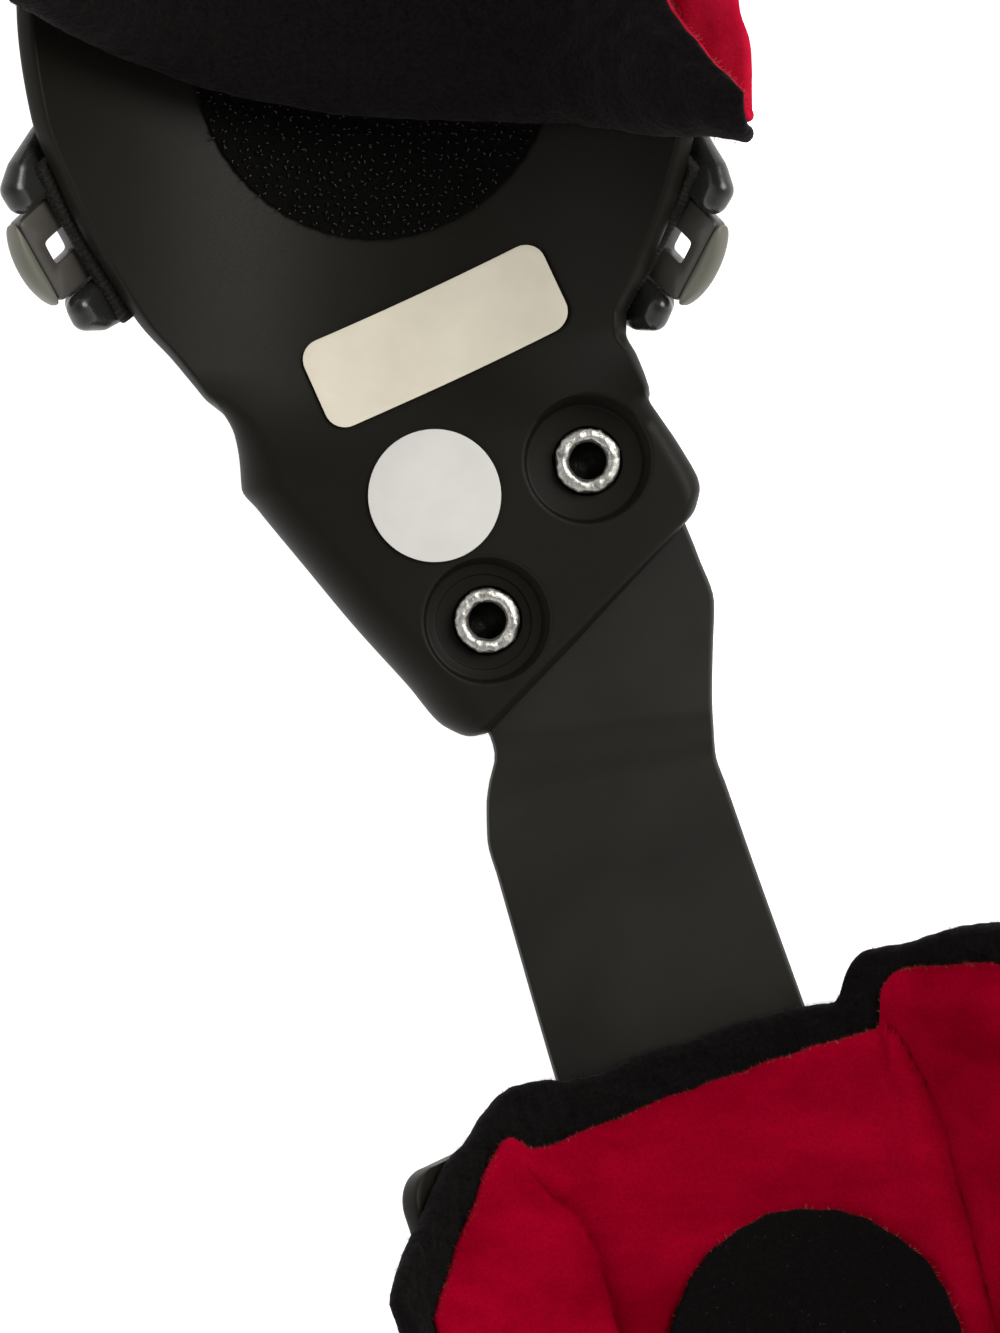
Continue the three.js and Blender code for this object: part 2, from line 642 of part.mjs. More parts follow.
function shellRivet() {
  const top = lowerFloor - gap;
  return turned([[0, gap], [shellRivetRadius, gap], [shellRivetRadius, top], [0, top]], 16);
}

function lowerShell() {
  const columns = 15;
  const shares = [0, 0.25, 0.6, 1];
  const cornerAlongs = shares.map((share) => lowerInset + share * lowerCorner);
  const farAlongs = shares.map((share) => lowerLength - lowerInset - share * lowerCorner).reverse();
  const alongs = [...cornerAlongs, lowerLength * 0.25, lowerLength * 0.5, lowerLength * 0.75, ...farAlongs];
  const grid = (radius) => alongs.map((along) => {
    const depth = Math.min(along - lowerInset, lowerLength - lowerInset - along, lowerCorner);
    const turn = lowerShellTurn - edgeDrop(lowerCorner, depth) / lowerRadius;
    const row = [];
    for (let k = 0; k < columns; k++) {
      row.push(cuffPoint(lowerCuff, turn * ((2 * k) / (columns - 1) - 1), along, radius));
    }
    return row;
  });
  const body = closedSheet(grid(lowerRadius), grid(lowerRadius + shellWall), shellWall * 0.18);
  const holeTop = lowerFloor + shellWall;
  const holes = shellRivetPlaces().map((place) => upright(shellRivetRadius + gap, 0, holeTop, place));
  return cutAway(body, holes);
}

// Upper liner

// The middle of the folded liner's base: it lies in the trough, turns over at the fold and comes back.
function foldedGrid(inset) {
  const columns = 15;
  const lying = upperRadius - hookDisc.thick - 2 * gap - baseThick / 2;
  const arc = lying * flareTurn;
  const place = (share, y, lift) => {
    const side = share < 0 ? -1 : 1;
    const distance = Math.abs(share) * (arc + (side < 0 ? flareLeft : flareRight));
    const turn = Math.min(distance / lying, flareTurn);
    const spare = Math.max(distance - arc, 0);
    const out = lying * Math.sin(turn) + spare * Math.cos(turn);
    const z = upperAxisZ - lying * Math.cos(turn) + spare * Math.sin(turn);
    const inward = -side * Math.sin(turn / 2);
    return new THREE.Vector3(upperAxisX + side * out + inward * lift, y, z + Math.cos(turn / 2) * lift);
  };
  const rows = [];
  const addRow = (left, right, at) => {
    const row = [];
    for (let k = 0; k < columns; k++) {
      const share = THREE.MathUtils.lerp(-left + inset, right - inset, k / (columns - 1));
      const fold = readTable(foldLine, 'across', share, 'up') * shellTop + baseThick / 2 + foldRadius;
      const { y, lift } = at(fold);
      row.push(place(share, y, lift));
    }
    rows.push(row);
  };
  const underTop = shellTop + linerOverTop;
  const flapTop = shellTop + flapOverTop;
  for (const { run, left, right } of underWidths) {
    addRow(left, right, (fold) => ({ y: THREE.MathUtils.lerp(underTop, fold, run), lift: 0 }));
  }
  const bends = 6;
  for (let k = 1; k < bends; k++) {
    const turn = (k / bends) * Math.PI;
    addRow(1, THREE.MathUtils.lerp(1, flapWidths[0].right, k / bends), (fold) => ({
      y: fold - foldRadius * Math.sin(turn),
      lift: foldRadius * (1 - Math.cos(turn)),
    }));
  }
  for (const { run, left, right } of flapWidths) {
    addRow(left, right, (fold) => ({
      y: THREE.MathUtils.lerp(fold, flapTop, run),
      lift: 2 * foldRadius,
    }));
  }
  return rows;
}

function upperLinerBase() {
  const middle = foldedGrid(0);
  return closedSheet(offsetGrid(middle, baseThick / 2), offsetGrid(middle, -baseThick / 2), baseThick * 0.3);
}

function upperLinerFace() {
  const middle = foldedGrid(0.02);
  const near = baseThick / 2 + gap;
  const far = near + upperFaceThick;
  return closedSheet(offsetGrid(middle, far), offsetGrid(middle, near), upperFaceThick * 0.3);
}

// Forearm liner

const lowerBaseRadius = lowerRadius - gap;
const lowerFaceRadius = lowerBaseRadius - baseThick - gap;

function lowerLinerBase() {
  const runs = [0, 0.04, 0.12, 0.3, 0.5, 0.7, 0.88, 0.96, 1];
  const grid = (radius) => runs.map((run) => baseEnds.map(({ turn, near, far }) => {
    const along = THREE.MathUtils.lerp(near, far, run) * lowerLength;
    return cuffPoint(lowerCuff, turn * lowerBaseTurn, along, radius);
  }));
  return closedSheet(grid(lowerBaseRadius - baseThick), grid(lowerBaseRadius), baseThick * 0.3);
}

function cushionLift(row, run) {
  const swell = readTable(cushionSwell, 'run', run, 'swell');
  return faceEdge + row.rise * swell * (row.wing ? wingRise : cushionRise);
}

function lowerLinerFace() {
  const grid = (lifted) => cushionSwell.map(({ run }) => faceEnds.map((row) => {
    const along = THREE.MathUtils.lerp(row.near, row.far, run) * lowerLength;
    const lift = lifted ? cushionLift(row, run) : 0;
    return cuffPoint(lowerCuff, row.turn * lowerFaceTurn, along, lowerFaceRadius - lift);
  }));
  return closedSheet(grid(true), grid(false), faceEdge * 0.3);
}

// Height of the middle cushion under the disc, at a place across the cuff.
function cushionHeight(x, y) {
  const away = new THREE.Vector3(x, y, 0).sub(lowerCuff.middle);
  const across = away.dot(lowerCuff.across);
  const turn = Math.asin(across / (lowerFaceRadius - cushionRise)) / lowerFaceTurn;
  const lift = faceEdge + readTable(faceEnds, 'turn', turn, 'rise') * cushionRise;
  const radius = lowerFaceRadius - lift;
  return lowerCuff.axisZ - Math.sqrt(radius ** 2 - across ** 2);
}

function lowerLinerDisc() {
  const middle = lowerCuff.middle.clone().addScaledVector(lowerCuff.along, lowerLength / 2);
  const outline = roundOutline(lowerDiscRadius);
  return surfacePatch(middle, outline, cushionHeight, gap, gap + lowerDiscThick, curvedRings);
}

// Straps

// A strap round the outside of a cuff. Its ends are cut at an angle, so its middle line runs in an arch.
function strap(cuff, endTurn, along, endAngle) {
  const columns = [-0.5, -0.25, 0, 0.25, 0.5];
  const rows = 19;
  const radius = cuff.radius + shellWall + gap + strapThick / 2;
  const arc = radius * endTurn;
  const sag = (arc * Math.tan(endAngle)) / 2;
  const middle = [];
  for (let k = 0; k < rows; k++) {
    const share = (2 * k) / (rows - 1) - 1;
    const slope = new THREE.Vector2(arc, 2 * sag * share).normalize();
    middle.push(columns.map((column) => {
      const aside = column * strapWidth;
      const run = share * arc - aside * slope.y;
      return cuffPoint(cuff, run / radius, along - sag * (1 - share ** 2) + aside * slope.x, radius);
    }));
  }
  return closedSheet(offsetGrid(middle, strapThick / 2), offsetGrid(middle, -strapThick / 2), 0.4);
}

// Buckles, drawn flat: x along the rim, y outwards past the strap's end, z away from the shell.

function shapeFrom(points) {
  return new THREE.Shape(points.map(([x, y]) => new THREE.Vector2(x, y)));
}

function slab(shape, low, high) {
  const body = new THREE.ExtrudeGeometry(shape, { depth: high - low, bevelEnabled: false, curveSegments: 5 });
  body.translate(0, 0, low);
  return toSolid(body);
}

function rectangle(half, from, to) {
  return shapeFrom([[-half, from], [half, from], [half, to], [-half, to]]);
}

// A block cut away on its inner side for the strap's end: a plate is left under it, and an ear on each side.
function buckleReceiver() {
  const half = [
    [slotHalf, slotFloor],
    [slotHalf, buckleAhead - 1.6],
    [slotHalf + 0.5, buckleAhead - 0.5],
    [slotHalf + 1.7, buckleAhead],
    [buckleTipHalf - 1.3, buckleAhead - 0.3],
    [buckleTipHalf, buckleAhead - 1.3],
    [buckleHalf, 1 - buckleShoulder],
    [buckleHalf - 0.4, -buckleShoulder],
    [buckleBackHalf, -buckleBehind],
  ];
  const outline = shapeFrom([...half, ...half.map(([x, y]) => [-x, y]).reverse()]);
  const start = -2 * buckleBehind;
  const forStrap = slab(rectangle(strapWidth / 2 + strapRoom, start, earStart), -2 * earRise, 0);
  const behindEars = slab(rectangle(2 * buckleHalf, start, -buckleShoulder), -2 * earRise, 0);
  const body = slab(outline, -earRise, buckleThick);
  return fromSolid(body.subtract(forStrap).subtract(behindEars));
}

function buckleHook() {
  const plate = rectangle(hookTabHalf, slotFloor + gap, hookTabEnd);
  const side = hookHole / 2;
  plate.holes.push(shapeFrom([
    [-side, hookHoleAlong - side],
    [-side, hookHoleAlong + side],
    [side, hookHoleAlong + side],
    [side, hookHoleAlong - side],
  ]));
  const low = (buckleThick - hookTabThick) / 2;
  const tab = slab(plate, low, low + hookTabThick);
  const round = lipLength / 2;
  const lipShape = new THREE.Shape();
  lipShape.absarc(0, lipThick / 2 - round, round, 0, Math.PI, false);
  lipShape.absarc(0, -lipThick / 2 + round, round, Math.PI, 2 * Math.PI, false);
  const lip = new THREE.ExtrudeGeometry(lipShape, {
    depth: 2 * lipHalf,
    bevelEnabled: false,
    curveSegments: 5,
  });
  lip.rotateY(Math.PI / 2);
  lip.rotateX(Math.PI / 2);
  lip.translate(-lipHalf, hookTabEnd + round - 0.4, buckleThick / 2);
  return fromSolid(tab.add(toSolid(lip)));
}

// Places a buckle's two pieces on the outside of a cuff's wing, turned to stand square to its rim.
function buckleGroup(cuff, side, turn, along, tilt) {
  const radius = cuff.radius + shellWall + strapThick + 2 * gap;
  const outward = cuffPoint(cuff, side * turn, 0, 1).sub(cuffPoint(cuff, 0, 0, 0));
  const tangent = cuff.across.clone().multiplyScalar(side * Math.cos(turn));
  tangent.z = Math.sin(turn);
  const past = tangent.clone().multiplyScalar(Math.cos(tilt)).addScaledVector(cuff.along, Math.sin(tilt));
  const rim = past.clone().cross(outward);
  const group = new THREE.Group();
  group.position.copy(cuffPoint(cuff, side * turn, along, radius));
  group.quaternion.setFromRotationMatrix(new THREE.Matrix4().makeBasis(rim, past, outward));
  return group;
}

// Assembly

const brace = new THREE.Group();
function add(name, geometry, material, parent = brace, place) {
  const mesh = new THREE.Mesh(geometry, material);
  mesh.name = name;
  if (place) mesh.position.set(place.x, place.y, place.z || 0);
  parent.add(mesh);
}

add('upper_shell', upperShell(), materials.plastic);
add('upright_bar', uprightBar(), materials.bar);
add('lower_shell', lowerShell(), materials.plastic);
tubePlaces.forEach((place, k) => {
  add(`tube_rivet_${k + 1}`, tubeRivet(), materials.steel, brace, place);
});
shellRivetPlaces().forEach((place, k) => {
  add(`shell_rivet_${k + 1}`, shellRivet(), materials.steel, brace, place);
});
add('upper_liner_base', upperLinerBase(), materials.blackFabric);
add('upper_liner_face', upperLinerFace(), materials.redVelour);
add('lower_liner_base', lowerLinerBase(), materials.blackFabric);
add('lower_liner_face', lowerLinerFace(), materials.redVelour);
add('lower_liner_disc', lowerLinerDisc(), materials.hooks);
const hookOutline = roundOutline(hookDisc.radius);
const hookTop = gap + hookDisc.thick;
add('hook_disc', surfacePatch(hookDisc, hookOutline, shellFace, gap, hookTop, curvedRings), materials.hooks);
const partOutline = labelOutline(partLabel, partLabelTurn);
const labels = [
  { name: 'part_label', place: partLabel, outline: partOutline, rings: curvedRings },
  { name: 'side_label', place: sideLabel, outline: roundOutline(sideLabel.radius), rings: flatRings },
];
for (const { name, place, outline, rings } of labels) {
  const patch = surfacePatch(place, outline, shellFace, labelGap, labelGap + labelThick, rings);
  add(name, patch, materials.paper);
}
add('upper_strap', strap(upperCuff, upperStrapTurn, upperStrapAlong, upperRimTilt), materials.webbing);
add('lower_strap', strap(lowerCuff, lowerStrapTurn, lowerStrapAlong, 0), materials.webbing);

const buckles = [
  { name: 'upper', cuff: upperCuff, turn: upperStrapTurn, along: upperStrapAlong, tilt: upperRimTilt },
  { name: 'lower', cuff: lowerCuff, turn: lowerStrapTurn, along: lowerStrapAlong, tilt: 0 },
];
for (const { name, cuff, turn, along, tilt } of buckles) {
  for (const [label, side] of [['left', -1], ['right', 1]]) {
    const group = buckleGroup(cuff, side, turn, along, tilt);
    add(`${name}_buckle_${label}`, buckleReceiver(), materials.buckle, group);
    add(`${name}_hook_${label}`, buckleHook(), materials.tab, group);
    brace.add(group);
  }
}

export default brace;
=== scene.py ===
import math

import bmesh
import bpy
import numpy as np
from mathutils import Matrix, Vector


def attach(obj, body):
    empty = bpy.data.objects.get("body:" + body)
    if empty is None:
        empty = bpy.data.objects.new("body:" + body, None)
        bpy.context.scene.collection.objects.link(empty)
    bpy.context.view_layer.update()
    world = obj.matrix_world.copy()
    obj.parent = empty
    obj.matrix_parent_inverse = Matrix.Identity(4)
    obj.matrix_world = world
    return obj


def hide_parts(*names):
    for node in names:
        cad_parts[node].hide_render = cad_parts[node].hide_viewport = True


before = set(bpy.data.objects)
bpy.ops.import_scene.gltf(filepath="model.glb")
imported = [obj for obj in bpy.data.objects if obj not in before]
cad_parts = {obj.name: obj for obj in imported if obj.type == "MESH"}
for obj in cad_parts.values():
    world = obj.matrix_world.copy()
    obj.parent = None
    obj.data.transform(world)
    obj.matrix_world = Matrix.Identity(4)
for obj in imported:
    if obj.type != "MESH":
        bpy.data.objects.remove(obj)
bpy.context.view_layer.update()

# Left elbow brace. Sizes are in millimetres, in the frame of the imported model, and become metres in each mesh.
mm = 0.001
gap = 0.3  # between pieces that lie on each other
sharpAngle = 50  # degrees past which an edge stays sharp
scene = bpy.context.scene


# A cuff's own frame: the foot of its axis in plan, the ways along and across it, turned by bend, and its axis.
def makeCuff(x, y, bend, radius, axisZ):
    return {
        "middle": np.array([x, y]),
        "along": np.array([math.sin(bend), -math.cos(bend)]),
        "across": np.array([math.cos(bend), math.sin(bend)]),
        "radius": radius,
        "axisZ": axisZ,
    }


upperCuff = makeCuff(-35.9, 162, 0, 52, 59)
lowerCuff = makeCuff(12.5, -22.8, math.radians(18.7), 58, 64.3)
shellWall = 3
tubePlaces = [(-5.0, 60.0), (-19.4, 37.1)]
tubeRadius = 4.65


# Number helpers

# Rises smoothly from 0 at low to 1 at high.
def smoothStep(value, low, high):
    share = np.clip((value - low) / (high - low), 0, 1)
    return share * share * (3 - 2 * share)


# Start, and a share of the way from there to end.
def lerp(start, end, share):
    return start + (end - start) * share


# A smooth line through a table's values that never passes beyond them: cubic pieces whose slope at each row is
# the weighted harmonic mean of the slopes beside it, or zero where the values turn back.
def throughTable(places, values, at):
    places, values, at = (np.asarray(item, float) for item in (places, values, at))
    steps = np.diff(places)
    slopes = np.diff(values) / steps
    same = slopes[:-1] * slopes[1:] > 0
    before = 2 * steps[1:] + steps[:-1]
    after = steps[1:] + 2 * steps[:-1]
    first = np.where(same, slopes[:-1], 1)
    second = np.where(same, slopes[1:], 1)
    tangents = np.zeros(len(places))
    tangents[1:-1] = np.where(same, (before + after) / (before / first + after / second), 0)
    tangents[0] = slopes[0]
    tangents[-1] = slopes[-1]
    index = np.clip(np.searchsorted(places, at, side="right") - 1, 0, len(steps) - 1)
    step = steps[index]
    share = np.clip((at - places[index]) / step, 0, 1)
    square = share**2
    cube = share**3
    start = (2 * cube - 3 * square + 1) * values[index] + (cube - 2 * square + share) * step * tangents[index]
    return start + (3 * square - 2 * cube) * values[index + 1] + (cube - square) * step * tangents[index + 1]


# Sum of sine waves in chosen directions, about size long, each octave half as long and half as strong.
def wobble(points, size, seed, octaves=3):
    chance = np.random.default_rng(seed)
    total = np.zeros(points.shape[:-1])
    for octave in range(octaves):
        for _ in range(6):
            way = chance.normal(size=3)
            way *= 2 * math.pi / (size / 2**octave) / np.linalg.norm(way)
            total += np.sin(points @ way + chance.uniform(0, 2 * math.pi)) / 2**octave
    return total / 3.5


# Vectors divided by their own lengths.
def unit(vectors):
    return vectors / np.maximum(np.linalg.norm(vectors, axis=-1, keepdims=True), 1e-9)


# Ways in plan at angles: the cosine and the sine of each.
def wayAt(turn):
    return np.column_stack([np.cos(turn), np.sin(turn)])


# Point at an angle from a cuff's lowest line, a distance along it and a radius from its axis.
def cuffPoint(cuff, turn, along, radius):
    turn, along, radius = np.broadcast_arrays(np.asarray(turn, float), along, radius)
    flat = cuff["middle"] + along[..., None] * cuff["along"] + (radius * np.sin(turn))[..., None] * cuff["across"]
    return np.concatenate([flat, (cuff["axisZ"] - radius * np.cos(turn))[..., None]], -1)


# How far a round edge of a radius has dropped, at a distance in from the side.
def edgeDrop(radius, distance):
    inside = np.maximum(radius - distance, 0)
    return radius - np.sqrt(np.maximum(radius**2 - inside**2, 0))


# Direction square to a grid, on the side the arm lies.
def gridNormals(grid):
    return unit(np.cross(np.gradient(grid, axis=0), np.gradient(grid, axis=1)))


# Mesh helpers

# Quads between neighbours in a grid whose points are numbered row by row.
def gridQuads(rows, columns):
    index = np.arange(rows * columns).reshape(rows, columns)
    quads = np.stack([index[:-1, :-1], index[:-1, 1:], index[1:, 1:], index[1:, :-1]], -1)
    return quads.reshape(-1, 4)


# Quads between loops that lie one after another in the point list.
def loopQuads(loops, around, start=0):
    k = np.arange(around)
    after = (k + 1) % around
    rings = [np.stack([k + r * around, after + r * around, after + (r + 1) * around, k + (r + 1) * around], -1)
             for r in range(loops - 1)]
    return np.concatenate(rings) + start


# Loops closed by one many-sided face at each end.
def cappedFaces(loops, around):
    k = np.arange(around)
    return [loopQuads(loops, around), k[None, ::-1], k[None] + around * (loops - 1)]


# Loops closed by a fan at each end, to the first and the second point after them.
def fannedFaces(loops, around):
    k = np.arange(around)
    after = (k + 1) % around
    count = loops * around
    last = count - around
    return [loopQuads(loops, around), np.stack([np.full(around, count), after, k], -1),
            np.stack([np.full(around, count + 1), k + last, after + last], -1)]


# Capped tubes of the same number of loops and sides, one after another in the point list.
def tubeFaces(tubes, loops, sides):
    k = np.arange(sides)
    own = loops * sides
    ends = np.array([k[::-1], k + own - sides])
    shift = (np.arange(tubes) * own)[:, None, None]
    return [(loopQuads(loops, sides) + shift).reshape(-1, 4), (ends + shift).reshape(-1, sides)]


# Closes two grids that share an outline. The rim between them is part of an ellipse that stands out by bulge;
# a power below one makes it squarer.
def closedGrid(top, bottom, bulge, loops=4, power=1.0):
    rows, columns = top.shape[:2]
    index = np.arange(rows * columns).reshape(rows, columns)
    quads = gridQuads(rows, columns)
    outline = np.concatenate([index[0, :], index[1:, -1], index[-1, -2::-1], index[-2:0:-1, 0]])
    row, column = outline // columns, outline % columns
    inRow, inColumn = np.clip(row, 1, rows - 2), np.clip(column, 1, columns - 2)
    high, low = top[row, column], bottom[row, column]
    out = unit((high + low) - (top[inRow, inColumn] + bottom[inRow, inColumn]))
    points = [top.reshape(-1, 3), bottom.reshape(-1, 3)]
    faces = [quads, quads[:, ::-1] + rows * columns]
    ring = outline
    count = 2 * rows * columns
    for k in range(1, loops + 1):
        if k < loops:
            turn = math.pi * k / loops
            points.append(high + (low - high) * (1 - math.cos(turn)) / 2 + out * bulge * math.sin(turn) ** power)
            after = np.arange(len(outline)) + count
            count += len(outline)
        else:
            after = outline + rows * columns
        faces.append(np.stack([ring, after, np.roll(after, -1), np.roll(ring, -1)], -1))
        ring = after
    return np.concatenate(points), faces


# Six times the volume that faces enclose: each is cut into a fan of triangles, and the triple products of their
# corners are added. It is negative where the faces point in.
def signedVolume(points, faces):
    total = 0
    for face in faces:
        a = points[face[:, 0]]
        for k in range(1, face.shape[1] - 1):
            total += np.einsum("ij,ij->i", a, np.cross(points[face[:, k]], points[face[:, k + 1]])).sum()
    return total


# A closed body's faces, turned round where they point in.
def outwards(points, faces):
    return [face[:, ::-1] for face in faces] if signedVolume(points, faces) < 0 else faces


# Blender's mesh of a body, in metres, without the points that no face uses, and the numbers of those it has.
def meshFrom(name, points, faces):
    faces = outwards(points, faces)
    used =np.unique(np.concatenate([face.ravel() for face in faces]))
    renumber = np.zeros(len(points), int)
    renumber[used] = np.arange(len(used))
    mesh = bpy.data.meshes.new(name)
    mesh.from_pydata((points[used] * mm).tolist(), [], [f for face in faces for f in renumber[face].tolist()])
    return mesh, used


# Makes an object of the brace from points and faces, and hides the imported pieces it stands for. Extra holds the
# flat place of each point, for the weave.
def piece(name, points, faces, finish, nodes, sharp=None, extra=None):
    mesh, used = meshFrom(name, points, faces)
    mesh.shade_smooth()
    if sharp:
        mesh.set_sharp_from_angle(angle=math.radians(sharp))
    if extra is not None:
        layer = mesh.attributes.new("flat", "FLOAT_VECTOR", "POINT")
        layer.data.foreach_set("vector", (extra[used] * mm).ravel())
    mesh.materials.append(finish)
    made = bpy.data.objects.new(name, mesh)
    scene.collection.objects.link(made)
    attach(made, "root")
    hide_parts(*nodes)
    return made


# Cuts plain solids out of an object for good, and keeps the new edges sharp.
def carve(made, cutters):
    for cutter in cutters:
        step = made.modifiers.new("carve", "BOOLEAN")
        step.operation = "DIFFERENCE"
        step.solver = "MANIFOLD"
        step.object = cutter
    ready = made.evaluated_get(bpy.context.evaluated_depsgraph_get())
    mesh = bpy.data.meshes.new_from_object(ready)
    made.modifiers.clear()
    mesh.set_sharp_from_angle(angle=math.radians(sharpAngle))
    made.data = mesh
    for cutter in cutters:
        bpy.data.objects.remove(cutter)


# A plain upright solid over a plan outline.
def prism(outline, low, high):
    count = len(outline)
    points = np.concatenate([np.column_stack([outline, np.full(count, z)]) for z in (low, high)])
    mesh, _ = meshFrom("cutter", points, cappedFaces(2, count))
    made = bpy.data.objects.new("cutter", mesh)
    scene.collection.objects.link(made)
    return made


# Points at equal angles round a place.
def circle(radius, sides, place=(0, 0)):
    return wayAt(np.linspace(0, 2 * math.pi, sides, endpoint=False)) * radius + np.asarray(place)


# A profile of (radius, height) turned about an upright axis, closed at both ends.
def lathe(profile, sides):
    profile = np.asarray(profile, float)
    rings = profile[1:-1]
    turn = np.linspace(0, 2 * math.pi, sides, endpoint=False)
    points = np.stack([rings[:, :1] * np.cos(turn), rings[:, :1] * np.sin(turn),
                       np.repeat(rings[:, 1:], sides, 1)], -1).reshape(-1, 3)
    ends = np.array([[0, 0, profile[0, 1]], [0, 0, profile[-1, 1]]])
    return np.concatenate([points, ends]), fannedFaces(len(rings), sides)


# Thin fibres with three sides, each bent to one side as the square of the way along it and tapered to its tip.
def fibres(roots, ways, lengths, thick, curl, seed, segments=3):
    chance = np.random.default_rng(seed)
    count = len(roots)
    ways = unit(ways)
    aside = unit(np.cross(ways, chance.normal(size=(count, 3))))
    third = np.cross(ways, aside)
    lengths = np.broadcast_to(lengths, count)[:, None]
    points = []
    for step in range(segments + 1):
        share = step / segments
        middle = roots + ways * lengths * share + aside * lengths * curl * share**2
        radius = thick / 2 * (1 - 0.75 * share)
        for k in range(3):
            turn = 2 * math.pi * k / 3
            points.append(middle + (aside * math.cos(turn) + third * math.sin(turn)) * radius)
    return np.stack(points, 1).reshape(-1, 3), tubeFaces(count, segments + 1, 3)


# Random places along a row of points: the number of the point before each, and the share of the way to the next.
def placesAlong(chance, first, last, count):
    at = chance.uniform(first, last, count)
    before = at.astype(int)
    return before, (at - before)[:, None]


# Bodies in one list: each one's faces are numbered on by the points before it.
def joined(*parts):
    points, faces, count = [], [], 0
    for own, sets in parts:
        points.append(own)
        faces += [face + count for face in sets]
        count += len(own)
    return np.concatenate(points), faces


# Material helpers

# A material made of nodes round one Principled shader, on Object coordinates.
class Finish:
    def __init__(self, name, **values):
        self.material = bpy.data.materials.new(name)
        self.material.use_nodes = True
        self.tree = self.material.node_tree
        self.shader = self.tree.nodes["Principled BSDF"]
        self.place = self.add("ShaderNodeTexCoord").outputs["Object"]
        self.set(**values)

    # A node with its settings, and a value or a link for each input.
    def add(self, kind, inputs=None, **settings):
        node = self.tree.nodes.new(kind)
        for key, value in settings.items():
            setattr(node, key, value)
        for key, value in (inputs or {}).items():
            self.join(value, node.inputs[key])
        return node

    # Links another node's output to a socket, or sets the socket's own value.
    def join(self, value, socket):
        if isinstance(value, bpy.types.NodeSocket):
            self.tree.links.new(value, socket)
        else:
            socket.default_value = value

    # Sets or links inputs of the shader by plain names.
    def set(self, **values):
        names = {"colour": "Base Color", "roughness": "Roughness", "metal": "Metallic", "shine": "Specular IOR Level",
                 "sheen": "Sheen Weight", "sheenRough": "Sheen Roughness", "sheenTint": "Sheen Tint",
                 "normal": "Normal"}
        for key, value in values.items():
            self.join(value, self.shader.inputs[names[key]])

    # Coordinates turned about the upright axis and scaled on each axis.
    def stretch(self, scale, turn):
        node = self.add("ShaderNodeMapping", {"Vector": self.place, "Scale": scale, "Rotation": (0, 0, turn)})
        return node.outputs["Vector"]

    # Noise with features about size millimetres across.
    def noise(self, size, detail=2, rough=0.5, place=None, distortion=0):
        return self.add("ShaderNodeTexNoise", {"Vector": place or self.place, "Scale": 1000 / size, "Detail": detail,
                                               "Roughness": rough, "Distortion": distortion}).outputs["Fac"]

    # Distance from the nearest of random points about size millimetres apart.
    def cells(self, size):
        return self.add("ShaderNodeTexVoronoi", {"Vector": self.place, "Scale": 1000 / size}).outputs["Distance"]

    # Sine waves over the flat place that is stored in a piece.
    def waves(self, scale, distortion, direction):
        place = self.add("ShaderNodeAttribute", attribute_name="flat").outputs["Vector"]
        return self.add("ShaderNodeTexWave", {"Vector": place, "Scale": scale, "Distortion": distortion},
                        bands_direction=direction).outputs["Fac"]

    # A factor read through stops of (place, grey or colour), straight from one to the next.
    def ramp(self, factor, *stops):
        node = self.add("ShaderNodeValToRGB", {"Fac": factor})
        line = node.color_ramp
        while len(line.elements) < len(stops):
            line.elements.new(0.5)
        for element, (place, value) in zip(line.elements, stops):
            element.position = place
            element.color = (value, value, value, 1) if isinstance(value, (int, float)) else (*value, 1)
        return node.outputs["Color"]

    # A maths node on two values.
    def math(self, operation, first, second):
        node = self.add("ShaderNodeMath", operation=operation)
        self.join(first, node.inputs[0])
        self.join(second, node.inputs[1])
        return node.outputs[0]

    # First, and a share of the way from there to second.
    def mix(self, factor, first, second):
        node = self.add("ShaderNodeMix", data_type="RGBA")
        self.join(factor, node.inputs[0])
        for value, socket in ((first, node.inputs[6]), (second, node.inputs[7])):
            self.join((*value, 1) if isinstance(value, tuple) else value, socket)
        return node.outputs[2]

    # First where a factor is below low, second where it is above high.
    def blend(self, factor, low, high, first, second):
        return self.mix(self.ramp(factor, (low, 0.0), (high, 1.0)), first, second)

    # Bump of a height whose whole range is depth millimetres, on top of the bump before it.
    def bump(self, height, depth, before=None):
        inputs = {"Height": height, "Distance": depth * mm, "Strength": 1.0}
        if before:
            inputs["Normal"] = before
        return self.add("ShaderNodeBump", inputs).outputs["Normal"]


# Plastic from a mould: cloudy colour, paler rubbed marks that are also rougher, and a fine grain over slow dents.
def mouldedPlastic(name, colour, lighter, roughness, grain, shine):
    finish = Finish(name, shine=shine)
    cloud = finish.noise(38, 3)
    fine = finish.noise(grain, 3, 0.6)
    scuff = finish.noise(9, 6, 0.75, distortion=1.5)
    colours = finish.blend(cloud, 0.3, 0.7, colour, lighter)
    marks = finish.ramp(scuff, (0.60, 0.0), (0.72, 1.0))
    finish.set(colour=finish.mix(finish.math("MULTIPLY", marks, 0.25), colours, lighter))
    rough = finish.ramp(fine, (0.25, roughness - 0.06), (0.75, roughness + 0.06))
    finish.set(roughness=finish.math("ADD", rough, finish.math("MULTIPLY", marks, 0.07)))
    finish.set(normal=finish.bump(fine, 0.012, finish.bump(finish.noise(5.5, 2), 0.02)))
    return finish.material


